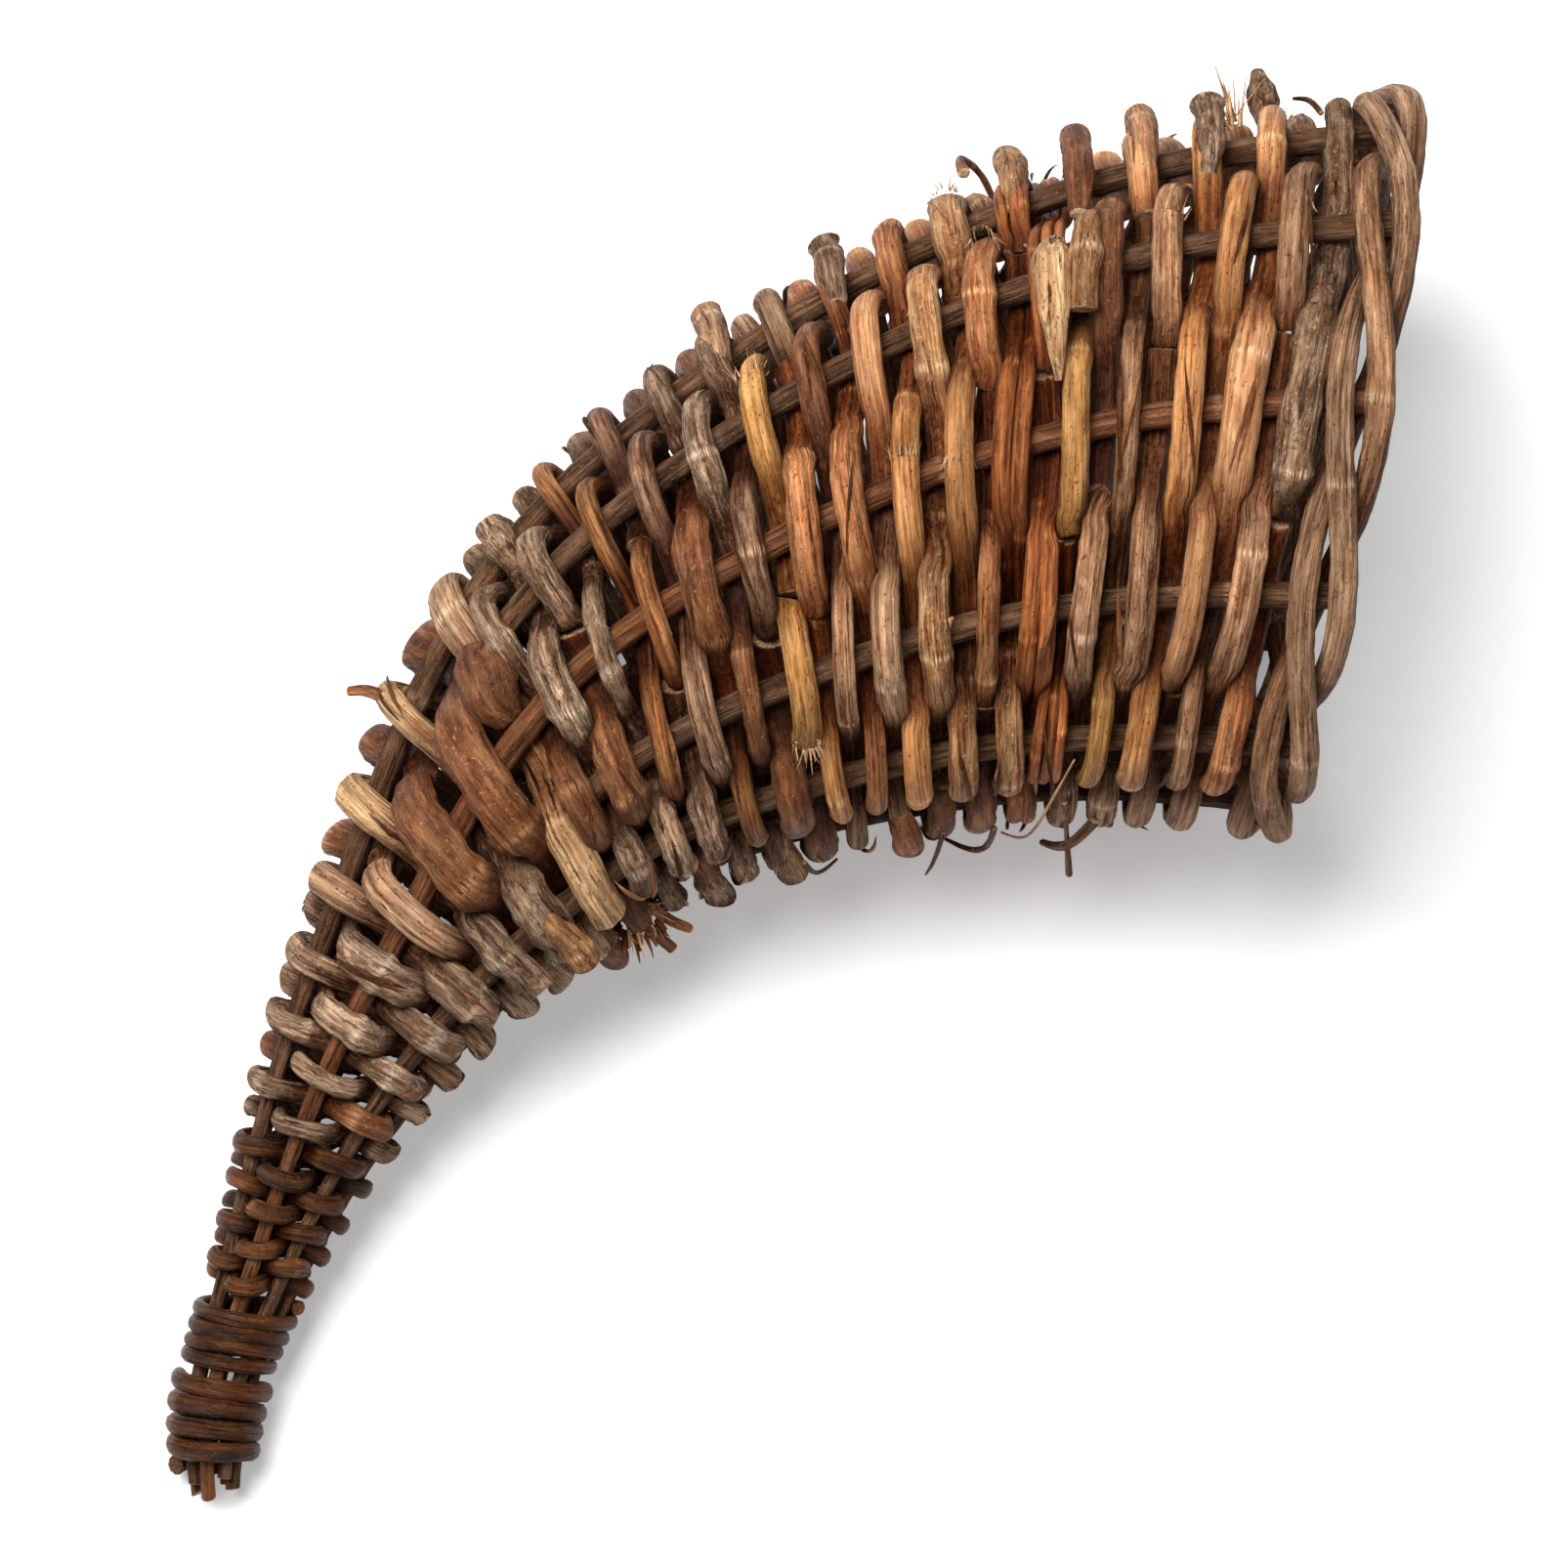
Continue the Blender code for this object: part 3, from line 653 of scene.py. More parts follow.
finish_values = {  # dark, light, bark, speck; amounts of bark, specks, cracks and streak width; roughness; relief
    "ash": ("ashen vine", (72, 38, 19), (203, 163, 128), (124, 92, 64), (232, 204, 172),
            (0.3, 0.15, 0.7, 1.0), (0.5, 0.8), 0.00036),
    "rose": ("rosy ashen vine", (64, 30, 14), (194, 147, 108), (116, 74, 48), (223, 192, 161),
             (0.35, 0.17, 0.7, 1.0), (0.5, 0.8), 0.00036),
    "mottled": ("mottled bark", (48, 26, 14), (150, 112, 80), (116, 86, 60), (228, 208, 183),
                (0.9, 0.5, 0.9, 1.0), (0.6, 0.9), 0.00055),
    "gold": ("golden peeled vine", (90, 44, 17), (200, 146, 92), (151, 86, 39), (234, 190, 136),
             (0.3, 0.1, 0.35, 1.0), (0.38, 0.62), 0.00018),
    "tan": ("tan peeled vine", (104, 53, 26), (209, 157, 109), (159, 104, 63), (238, 204, 161),
            (0.25, 0.12, 0.4, 1.0), (0.4, 0.65), 0.00020),
    "shoot": ("red-brown shoots", (54, 21, 9), (168, 102, 58), (103, 48, 19), (234, 155, 94),
              (0.3, 0.12, 0.5, 1.0), (0.35, 0.6), 0.00020),
    "speckled": ("speckled golden vine", (74, 39, 18), (191, 142, 97), (142, 90, 50), (240, 208, 164),
                 (0.5, 0.4, 0.8, 1.0), (0.45, 0.75), 0.00034),
    "rust": ("rusty vine", (70, 30, 13), (182, 122, 78), (128, 65, 30), (228, 180, 131),
             (0.4, 0.17, 0.7, 1.0), (0.42, 0.7), 0.00030),
    "olive": ("olive vine", (94, 52, 19), (203, 153, 90), (147, 98, 48), (230, 192, 136),
              (0.3, 0.2, 0.5, 1.0), (0.4, 0.65), 0.00022),
    "grey": ("grey bark", (50, 28, 15), (188, 154, 126), (108, 78, 54), (223, 204, 179),
             (0.8, 0.3, 0.9, 1.0), (0.6, 0.9), 0.00050),
    "plum": ("dark plum vine", (38, 17, 9), (122, 84, 62), (76, 47, 31), (220, 183, 148),
             (0.5, 0.2, 0.6, 1.0), (0.42, 0.7), 0.00030),
    "brown": ("smooth brown bark", (56, 28, 13), (126, 77, 44), (84, 47, 25), (190, 142, 102),
              (0.6, 0.4, 0.25, 1.0), (0.38, 0.62), 0.00024, 0.11),
    "striped": ("striped vine", (46, 20, 9), (176, 113, 66), (96, 50, 25), (230, 176, 119),
                (0.2, 0.1, 0.8, 0.75), (0.4, 0.65), 0.00030),
    "straw": ("split straw-coloured wood", (112, 64, 30), (220, 190, 146), (188, 134, 82), (244, 214, 170),
              (0.3, 0.1, 1.0, 0.9), (0.5, 0.8), 0.00050),
    "rattan": ("glossy dark rattan", (11, 5, 2), (94, 51, 20), (35, 16, 6), (132, 88, 50),
               (0.45, 0.3, 1.0, 1.0), (0.22, 0.42), 0.00036, 0.12, (112, 76, 46)),
    "peeled": ("peeled stake", (46, 20, 9), (142, 88, 54), (84, 46, 26), (176, 140, 108),
               (0.3, 0.2, 0.6, 0.9), (0.4, 0.7), 0.00028, sheen, dull),
    "stake": ("weathered stake", (34, 19, 10), (112, 80, 56), (68, 44, 28), (158, 132, 108),
              (0.3, 0.3, 0.8, 0.9), (0.5, 0.8), 0.00036, sheen, dull),
}
finishes = {key: vine_finish(*values) for key, values in finish_values.items()}
print("finishes:", len(finishes))

# %% [markdown]
# ## Weaving the vines
# A weaver passes outside one stake and inside the next. Seen from the side its path follows a rounded wave, so that
# each visible length is a spindle: broad where it bulges over a stake and narrower where it dives between two. One
# endless strip would show the same weave, but no vine is long enough for the whole horn, so each is laid in where the
# last ran out, with cut ends. The form of each kind of vine says how wavy, ribbed and knotty its skin is.

# %% One vine of the weave
forms = {  # slow waves, ribs, their depth, metres between knots, swelling at a knot
    "ash": (0.022, 7, 0.018, 0.050, 0.10), "rose": (0.022, 6, 0.020, 0.060, 0.10),
    "mottled": (0.055, 0, 0.0, 0.030, 0.20), "gold": (0.020, 0, 0.0, 0.060, 0.10),
    "tan": (0.018, 0, 0.0, 0.060, 0.10), "shoot": (0.020, 0, 0.0, 0.030, 0.14),
    "speckled": (0.032, 0, 0.0, 0.022, 0.19), "rust": (0.030, 5, 0.018, 0.032, 0.17),
    "olive": (0.018, 0, 0.0, 0.060, 0.14), "grey": (0.060, 0, 0.0, 0.026, 0.20),
    "plum": (0.026, 5, 0.018, 0.050, 0.12), "brown": (0.042, 0, 0.0, 0.035, 0.18),
    "striped": (0.018, 8, 0.022, 0.060, 0.08), "straw": (0.025, 7, 0.035, 0.070, 0.06),
    "rattan": (0.026, 9, 0.034, 0.045, 0.10), "stake": (0.020, 9, 0.035, 0.070, 0.10),
    "peeled": (0.020, 9, 0.020, 0.070, 0.10),
}
smooth_form = (0, 0, 0, 1.0, 0)
crossing_places, vine_step, most_bow, squeeze = 14, 0.0008, 0.0016, 0.0005


def woven_path(work, w, depth):
    """The path of a weaver at stake counts w, set out by the wave c(1 + f - fc²), where c is cos(pi times w)."""
    u = work.station(w)
    angle = crossing_angle(work.numbers, w, u)
    c = np.cos(math.pi * (w + work.passed))
    reach = (stake_size(u) + depth(u)) / 2 + weave_gap
    flat = 0.15 if work is body else 0.45
    path, normals = placed(u, angle, reach * c * (1 + flat - flat * c * c))
    return path, normals, u, angle, c


def row_room(work, w, u, angle, path):
    """How far off the rows on both sides are, measured square to the vine."""
    forward = directions(path)
    room = np.full(len(w), math.inf)
    for turn in (-1, 1):
        step = surface(work.station(w + turn * len(work.numbers)), angle) - surface(u, angle)
        step -= (step * forward).sum(axis=1, keepdims=True) * forward
        room = np.minimum(room, np.linalg.norm(step, axis=1))
    return room


def weave(work, number, start, end, finish, strands, wide):
    """One vine or bundle of shoots between two stake counts, with half a splice gap cut off at each end.

    Its width gives way smoothly to the room that the next rows leave, and where there is room to spare it bows.
    """
    rng = np.random.default_rng(1000 * work.passed + 17 * number + 5)
    length = travelled(woven_path(work, np.linspace(start, end, int((end - start) * 12) + 2), cane_depth)[0])[-1]
    cut = splice_gap / 2 * (end - start) / length
    w = np.linspace(start + cut, end - cut, int(max((end - start) * crossing_places, length / vine_step)) + 1)
    sides, share = (14, 1.08 / strands) if strands > 1 else (20, 1.0)
    bows = [(rng.uniform(0.5, 0.9), rng.uniform(0, full_turn)), (rng.uniform(1.0, 1.7), rng.uniform(0, full_turn))]
    full = lambda u: cane_breadth(u) * wide
    depth = lambda u: np.minimum(cane_depth(u), full(u) * share)
    middle, normals, u, angle, c = woven_path(work, w, depth)
    limit = (row_room(work, w, u, angle, middle) + squeeze) * (1 + 0.5 * ease(np.abs(c), 0.02, 0.4))
    whole = (full(u) ** -8 + limit**-8) ** (-1 / 8)
    bow = sum(0.5 * np.sin(rate * w * 2 + phase) for rate, phase in bows)
    sway = 0.55 * np.clip(limit - whole, 0, most_bow) * bow
    side = np.cross(normals, directions(middle))
    # Painted shade: most where the vine dives inside, between the stakes, and none on its crests.
    inside_shade = on_points(1 - ease(c, -0.42, 0.72), sides)
    parts = []
    for strand in range(strands):
        offset, widths = sway, whole
        if strands > 1:
            spread = (strand - (strands - 1) / 2) * whole * share * 0.95
            offset = sway + spread + 0.00035 * np.sin(w * rng.uniform(1.5, 3.5) + rng.uniform(0, full_turn))
            widths = whole * share * rng.uniform(0.85, 1.1)
        tilt = rng.uniform(-0.25, 0.25) + 0.3 * np.sin(w * 1.3 + rng.uniform(0, full_turn))
        leaning = normals * np.cos(tilt)[:, None] + side * np.sin(tilt)[:, None]
        part = carried(middle + side * offset[:, None], leaning, widths, depth(u) * rng.uniform(0.94, 1.0), sides, rng,
                       forms[finish], rng.uniform(-0.7, 0.7, 2))
        parts.append(soiled(part, inside_shade, rng.uniform(0, 1)))
    name = f"{work.name}_vine_{number + 1:02d}_{finish}"
    make_piece(name, joined(parts), finish, work.nodes(start, end))


def lay(work, rows):
    """Weaves the vines of a table of rows, in which each word is the finish that shows over one stake.

    The same word again is the same vine, unless it begins with an exclamation mark. Vines meet behind the stake
    between two words, or a little to one side of it. A plus is a thick vine, a minus is a thin one.
    """
    words = rows.split()
    rng = np.random.default_rng(len(words))
    outside = np.arange(work.passed % 2, work.crossings, 2)
    assert len(words) == len(outside), (work.name, len(words), len(outside))
    fresh = [i for i in range(len(words)) if i == 0 or words[i][0] == "!" or words[i] != words[i - 1].strip("!")]
    joints = [outside[i] - 1 + rng.choice((0, 0, 0, 0.4, -0.4)) for i in fresh[1:]]
    for number, (i, start, end) in enumerate(zip(fresh, [-0.5, *joints], [*joints, work.crossings - 0.5])):
        word = words[i].strip("!")
        finish = word.strip("+-")
        strands, wide = (3 if number % 2 else 2, 1.15) if finish == "shoot" else (1, rng.uniform(0.88, 1.08))
        wide = {"+": 1.32, "-": 0.70}.get(word[-1], wide) * work.fullness
        weave(work, number, start, end, finish, strands, wide)
    print(work.name, "vines:", len(fresh))


# %% [markdown]
# ## The tail and the bend
# The tail is woven in one length of thin, dark, glossy rattan, worked close. The bend after it is a mix of grey and
# brown bark, with lengths of smooth vine and split, straw-coloured pieces. The finishes could be drawn at random, but
# the eye knows a real basket by its odd neighbours, so each row is written down as it looks from the front.

# %% Tail and bend
weave(tail, 0, -0.5, tail.crossings - 0.5, "rattan", 1, 1.0)

bend_rows = """
rattan rattan !grey
grey !grey grey grey
brown grey grey
!grey grey brown grey
!grey grey grey
ash !grey grey grey
grey !grey brown
grey !grey+ grey grey
grey+ ash grey
!grey ash brown grey
!grey straw brown
grey brown+ !brown grey
grey+ straw- brown
grey brown+ !brown+ grey
straw ash grey
"""
lay(bend, bend_rows)

# %% [markdown]
# ## The body
# Along the body the finishes change in broad zones: grey and smooth brown ones near the bend, rusty and striped ones
# next, speckled gold and bundles of thin red-brown shoots in the middle, then smooth gold, and ash beside the rim. A
# gradient could do that, but single vines break the zones in the real basket, and the table keeps those too.

# %% Body
body_rows = """
brown brown grey grey brown grey
!grey grey+ grey brown grey
!grey brown+ grey !grey brown grey
!grey grey- striped- grey brown
!brown striped- !striped- plum brown grey
!grey striped- plum brown grey
grey ash plum !plum brown brown
striped- brown+ grey !grey plum
grey brown- grey brown rust grey
brown+ plum grey !grey rust
brown+ olive !olive ash brown rust
gold- rust ash !rust brown
ash- rose- brown rust speckled rust
rust- rust !rust- speckled rust
ash- ash tan gold speckled rust
gold !gold rust speckled gold
brown speckled !speckled gold speckled gold
speckled gold speckled+ rust gold
brown rust- rust speckled gold rust
speckled shoot !shoot gold shoot
!shoot shoot !shoot shoot gold !shoot
shoot olive straw- tan shoot
ash rose brown gold tan shoot
olive- rose- tan gold tan
ash rose !rose tan gold !gold
!gold gold !gold gold tan
ash tan gold tan gold tan
rose- tan+ !tan rose tan
ash rose !rose ash rose tan
rust mottled+
"""
lay(body, body_rows)

# %% The last end, which tapers off between the last row and the rim
w = np.linspace(322.42, 328.3, 110)
u = body.station(w, 0.55 * (w - 322.5))
c = np.cos(math.pi * (w + body.passed))
path, normals = placed(u, crossing_angle(every, w, u), ((stake_size(u) + cane_depth(u)) / 2 + weave_gap) * c)
widths = between(0.0058, 0.0026, ease(w, 322.3, 326))
depths = between(0.0042, 0.0026, (w - w[0]) / 6)
part = carried(path, normals, widths, depths, 20, np.random.default_rng(77), forms["mottled"])
# A little painted shade, the same over the whole end.
make_piece("last_tapered_end", soiled(part, 0.2, 0.5), "mottled", ["body_weaver_19"])

# %% [markdown]
# ## Stakes
# The stakes are split from thicker wood: a little squared, finely ribbed and grey with age. They could be left as the
# CAD tubes, since most of their length is covered, but they show in every gap and at the tail, where their uneven ends
# stick out past the binding. So they are carried along the horn in the same way as the vines.

# %% Stakes
tail_end_shares = (0.004, 0.012, 0.001, 0.009, 0.003, 0.013, 0.006)
end_setback, peeled_stakes, squareness = 0.0030, (3, 7, 10), 0.03
for number in every:
    rng = np.random.default_rng(300 + number)
    if number in through:
        start = tail_end_shares[list(through).index(number)]
    else:
        start = float(body.station(number - 0.3 * stake_count))
    end = float(set_back(end_setback, body_angles[number]))
    u = np.linspace(start, end, int((end - start) * 290))
    path, normals = placed(u, stake_angle(number, u), np.zeros(len(u)))
    full = stake_size(u) + 0.0003 * (1 - growth(u))
    part = carried(path, normals, full, full, 24, rng, forms["stake"], rng.uniform(-0.5, 0.5, 2), squareness)
    # The stakes get a little painted shade, the same all along.
    make_piece(f"split_stake_{number + 1:02d}", soiled(part, 0.2, rng.uniform(0.2, 0.8)),
               "peeled" if number in peeled_stakes else "stake", [f"stake_{number + 1:02d}"])
print("stakes:", stake_count)

# %% [markdown]
# ## Rim
# Three ashen canes close the mouth. Each one passes outside two stakes and inside the third, and leans towards the
# open end as it does, so that it lies over the two others like a strand of rope. A twisted ring would look alike from
# afar, but would not hold the stakes; two smooth curves of the stakes passed give the true path of each cane.

# %% Rim of three canes
wale_places = (0, 0.25, 0.5, 0.75, 1, 1.5, 2, 2.25, 2.5, 2.75, 3)
wale_out = smooth_curve(wale_places, (-1, -0.7, 0, 0.7, 1, 1, 1, 0.7, 0, -0.7, -1))
wale_lean = smooth_curve(wale_places, (0, -0.55, -1.0, -widest_lean, -1.0, 0, 1.0, widest_lean, 1.0, 0.55, 0))
rim_starts, rim_points, rim_sides, end_gap = (9.0, 10.0, 8.0), 560, 28, 0.02


def rim_vine(strand, finish):
    """A cane whose lean and reach both follow smooth curves of the stakes passed, which repeat every three.

    Eleven is two more than a multiple of three, so each cane ends where the next one starts: inside, behind a stake.
    """
    rng = np.random.default_rng(500 + strand)
    following = (strand + 1) % 3
    w = np.linspace(rim_starts[strand] + end_gap, rim_starts[following] + stake_count - end_gap, rim_points)
    place = np.mod(w - strand, 3)
    angle = crossing_angle(every, w, 1.0)
    out = ((stake_diameter + rim_cane_diameter) / 2 + weave_gap) * wale_out(place)
    path, normals = placed(set_back(rim_setback + rim_lean * wale_lean(place), angle), angle, out)
    widths = rim_cane_diameter * (0.90 + 0.10 * np.clip(wale_out(place), 0, 1))
    part = carried(path, normals, widths, rim_cane_diameter * 0.94, rim_sides, rng, forms[finish], (0.3, -0.3))
    # Painted shade where the cane passes inside the stakes, less at mid-depth, none where it lies outside.
    inside_shade = on_points(np.clip(0.55 - 0.6 * wale_out(place), 0, 1), rim_sides)
    make_piece(f"rim_vine_{strand + 1}", soiled(part, inside_shade, rng.uniform(0.0, 0.5)), finish,
               [f"rim_cane_{strand + 1}", f"rim_cane_{following + 1}"])


for strand, finish in enumerate(("ash", "rose", "ash")):
    rim_vine(strand, finish)
print("rim canes:", len(rim_starts))

# %% [markdown]
# ## Bindings
# The tail tip is bound with four turns of dark, glossy rattan, and four thinner turns lie at the neck. Separate rings
# would be simpler, but a binding is one length wound round, so each is a helix whose turns slip a little unevenly.

# %% Bindings
bind_turns, binding_start, neck_start, neck_end = 4, 0.020, 0.079, 0.116


def wind(name, node, start, end, diameter, first_angle, seed):
    """A cane on a helix round the bundle: the angle falls evenly as the station rises."""
    rng = np.random.default_rng(seed)
    share = np.linspace(0, 1, bind_turns * 60 + 1)
    swing = full_turn * bind_turns * share
    slip = sum(0.0012 * np.sin(swing * rate + rng.uniform(0, full_turn)) for rate in (0.37, 0.83, 1.3))
    out = np.full(len(share), (stake_tip_diameter + diameter) / 2 + weave_gap)
    path, normals = placed(between(start, end, share) + slip * np.sin(math.pi * share), first_angle - swing, out)
    part = carried(path, normals, diameter + 0.8 * turn_gap, diameter, 20, rng, forms["rattan"], (0.4, -0.4))
    # A little painted shade, the same all round the binding.
    make_piece(name, soiled(part, 0.1, rng.uniform(0.4, 0.8)), "rattan", [node])


tail_u, tail_round = np.meshgrid(np.linspace(binding_start, neck_start, 9), np.linspace(0, full_turn, 9))
slowest = np.linalg.norm(along(tail_u, tail_round), axis=-1).min()
binding_end = binding_start + bind_turns * (binding_diameter + turn_gap) / slowest
wind("bound_tip", "tip_binding", binding_start, binding_end, binding_diameter, 0.0, 701)
wind("bound_neck", "neck_wrap", neck_start, neck_end, tail_cane_thickness, math.pi, 702)
print("pieces so far:", len(made))

# %% [markdown]
# ## Loose ends
# What makes such a basket look hand-made is what sticks out of it: buds, broken ends with frayed fibres, rootlets and
# thin twigs. They could be scattered by chance, but each has its place on the horn, so each is written down as the
# stakes passed, a move along the horn and a distance out from the stakes. Their roots are sunk into the vines.

# %% Twigs
twig_step, thinnest = 0.0005, 0.0001


def over(work, w, further=0.0, out=0.0):
    """A point over the weave: the surface at stake count w, plus a move along the horn, plus a distance outward."""
    u = work.station(w)
    angle = crossing_angle(work.numbers, np.asarray(w, float), u)
    base, normal = placed(u, angle, out)
    ahead = along(u, angle)
    return base + further * ahead / np.linalg.norm(ahead, axis=-1, keepdims=True)


def across_to(path):
    """A normal for each point of a free path: any fixed direction, made square to the path."""
    forward = directions(path)
    fixed = np.array((0.1, 0.2, 1.0)) if abs(forward[:, 2]).mean() < 0.8 else np.array((1.0, 0.2, 0.1))
    normals = fixed - (forward @ fixed)[:, None] * forward
    return normals / np.linalg.norm(normals, axis=1, keepdims=True)


def twig(name, work, places, diameters, finish, seed, flatness=1.0, sides=14):
    """A twig on a smooth curve through places, each given as stake count, move along the horn and distance out."""
    rng = np.random.default_rng(seed)
    points = np.array([over(work, *place) for place in places])
    lengths = travelled(points)
    t = np.linspace(0, lengths[-1], max(int(lengths[-1] / twig_step), 6))
    path = np.column_stack([smooth_curve(lengths, points[:, i])(t) for i in range(3)])
    size = np.maximum(smooth_curve(lengths, diameters)(t), thinnest)
    part = carried(path, across_to(path), size, size * flatness, sides, rng, forms[finish], rng.uniform(-0.6, 0.6, 2))
    counts = [place[0] for place in places]
    nodes = work.nodes(min(counts), max(counts) + 0.01)[:1]
    # A little painted shade, the same over the whole twig.
    make_piece(name, soiled(part, 0.15, rng.uniform(0.3, 0.9)), finish, nodes)


# %% Buds, knobs, pegs and split pieces
odd_ends = (  # name, stretch, places, diameters, finish, flatness, sides
    ("bud_by_the_rim", body, [(302.2, 0.0, 0.0005), (302.5, 0.0, 0.0030), (302.62, 0.0, 0.0055), (302.66, 0.0, 0.0074),
     (302.68, 0.0, 0.0096), (302.7, 0.0, 0.0120), (302.72, 0.0, 0.0138)],
     [0.0044, 0.0044, 0.0042, 0.0054, 0.0058, 0.0030, 0.0022], "mottled", 1.0, 24),
    ("cut_knob", body, [(246.35, -0.0030, 0.001), (246.1, -0.0030, 0.0056), (245.85, -0.0032, 0.0068),
     (245.6, -0.0034, 0.0060)], [0.0046, 0.0050, 0.0054, 0.0050], "speckled", 1.0, 24),
    ("split_straw_piece", body, [(235.1, -0.0034, 0.0056), (234.95, -0.0034, 0.0074), (234.6, -0.0028, 0.0074),
     (234.25, -0.0022, 0.0056)], [0.0036, 0.0062, 0.0050, 0.0012], "straw", 0.5, 24),
    ("cracked_burl", body, [(3.2, -0.006, 0.0005), (3.36, -0.006, 0.0028), (3.6, -0.0055, 0.0036),
     (3.84, -0.005, 0.0030), (4.0, -0.005, 0.0005)], [0.0060, 0.0090, 0.0102, 0.0078, 0.0050], "brown", 0.46, 32),
    ("dark_twig", body, [(302.4, 0.0085, 0.0035), (302.45, 0.0068, 0.0060), (302.5, 0.0045, 0.0068)],
     [0.0011, 0.0010, 0.0006], "plum", 1.0, 14),
    ("curled_twig", body, [(215.2, -0.001, 0.006), (214.9, -0.003, 0.0105), (214.7, -0.006, 0.0115),
     (214.6, -0.0065, 0.0085)], [0.0012, 0.0012, 0.0014, 0.0022], "brown", 1.0, 14),
    ("broken_peg_1", body, [(0.10, 0.0, 0.0040), (-0.10, 0.0010, 0.0085), (-0.22, 0.0020, 0.0122)],
     [0.0024, 0.0021, 0.0020], "brown", 1.0, 12),
    ("broken_peg_2", body, [(0.15, 0.0030, 0.0040), (-0.05, 0.0045, 0.0080), (-0.10, 0.0062, 0.0105)],
     [0.0022, 0.0019, 0.0017], "rust", 1.0, 12),
    ("rusty_twig", bend, [(86.8, 0.0, 0.0035), (87.1, -0.0012, 0.0080), (87.25, -0.0030, 0.0104)],
     [0.0024, 0.0021, 0.0018], "rust", 1.0, 12),
)
for number, (name, work, places, diameters, finish, flatness, sides) in enumerate(odd_ends):
    twig(name, work, places, diameters, finish, 811 + number, flatness, sides)

# %% Cut ends that stand off where a vine was laid in
cut_ends = (  # the stretch, stakes passed, the way the end points, finish
    (body, 258.05, 1, "rose"), (body, 279.95, 1, "grey"), (body, 235.85, 1, "brown"), (body, 148.0, 1, "grey"),
    (body, 104.0, 1, "ash"), (body, 214.2, 1, "speckled"), (body, 44.0, -1, "grey"), (body, 88.0, -1, "rose"),
    (body, 154.0, -1, "rust"), (bend, 71.0, -1, "grey"), (bend, 91.0, -1, "brown"), (bend, 85.0, -1, "speckled"),
)
for number, (work, w, way, finish) in enumerate(cut_ends):
    places = [(w - way * 0.40, 0.0, 0.0018), (w - way * 0.16, 0.0006, 0.0044), (w + way * 0.10, 0.0010, 0.0061),
              (w + way * (0.25 + 0.02 * (number % 3)), 0.0010, 0.0076)]
    twig(f"cut_end_{number + 1}", work, places, [0.0034, 0.0050, 0.0052, 0.0055], finish, 880 + number, 0.9, 20)

# %% [markdown]
# ## Frayed fibres, slivers and rootlets
# Where a dry vine is bent or cut it frays: pale fibres stand up in tufts, and thin slivers peel off along it. Dark
# rootlets curl away from the knots. Hair strands would do for a picture, but the model has to be plain meshes, so
# each fibre is a thin, tapering strip.

# %% Tufts of fibres
def fibres(name, work, w, out, count, length, spread, forth, finish, seed, radius=0.0024, breadth=0.00034, rise=0.0):
    """A tuft: thin, tapering, slightly curled strips from a ring round a vine, which lean along it and fan outward."""
    rng = np.random.default_rng(seed)
    centre = over(work, w, 0.0, out)
    ahead = over(work, w + 0.05, 0.0, out) - centre
    ahead /= np.linalg.norm(ahead)
    up = over(work, w, 0.0, out + 0.001) - centre
    up = up - up @ ahead * ahead
    up /= np.linalg.norm(up)
    side = np.cross(ahead, up)
    t = np.linspace(0, 1, 7)[:, None]
    parts = []
    for _ in range(count):
        turn = rng.uniform(0, full_turn)
        round_way = np.cos(turn) * up + np.sin(turn) * side
        reach = length * rng.uniform(0.35, 1.0)
        way = ahead * forth + up * rise + round_way * spread * rng.uniform(0.3, 1.0) + rng.normal(0, 0.12, 3)
        way /= np.linalg.norm(way)
        curl = rng.normal(0, 0.25, 3) * reach
        root = centre + radius * round_way * rng.uniform(0.75, 0.98)
        path = root + way * reach * t + curl * t * t * 0.5
        size = breadth * rng.uniform(0.6, 1.4) * (1 - 0.8 * t[:, 0])
        part = carried(path, across_to(path), size, size * 0.5, 5, rng, smooth_form)
        part[4]["cut"] = np.zeros(len(part[0]))
        parts.append(soiled(part, 0.0, rng.uniform(0.3, 1.0)))
    make_piece(name, joined(parts), finish, work.nodes(w, w + 0.01))


frayed_nodes = (  # stakes passed, distance out, fibres, their length, spread and lean
    (114.15, 0.0046, 34, 0.0042, 0.5, 1.0), (180.0, 0.0046, 26, 0.0026, 0.35, -1.0),
    (168.12, 0.0046, 20, 0.0024, 0.35, 1.0), (190.0, 0.0046, 22, 0.0018, 0.3, -1.0),
    (111.6, 0.0046, 34, 0.0034, 0.45, -1.0), (178.15, 0.0046, 20, 0.0020, 0.3, -1.0),
    (268.1, 0.0046, 26, 0.0032, 0.35, 1.0), (312.05, 0.0046, 22, 0.0022, 0.3, -1.0),
    (265.9, 0.0046, 18, 0.0020, 0.35, 1.0), (192.2, 0.0050, 34, 0.0050, 0.55, 1.0),
    (202.4, 0.0046, 26, 0.0060, 0.5, -1.0), (302.3, 0.0050, 12, 0.0030, 0.5, 1.0),
)
for number, tuft in enumerate(frayed_nodes):
    fibres(f"frayed_node_{number + 1:02d}", body, *tuft, "straw", 830 + number)
fibres("straw_tuft", body, 291.6, 0.0040, 9, 0.0105, 0.12, 0.0, "straw", 851, 0.0012, 0.0008, 1.0)
fibres("straw_hairs", body, 291.6, 0.0060, 5, 0.0120, 0.8, 0.0, "straw", 852, 0.0006, 0.00022, 1.0)
fibres("frayed_cluster", body, 0.0, 0.0040, 34, 0.0044, 0.8, 0.5, "brown", 853, 0.0042, 0.0015, 0.8)
fibres("frayed_cluster_pale", body, 0.2, 0.0046, 14, 0.0052, 0.8, 0.6, "straw", 854, 0.0034, 0.0007, 0.7)

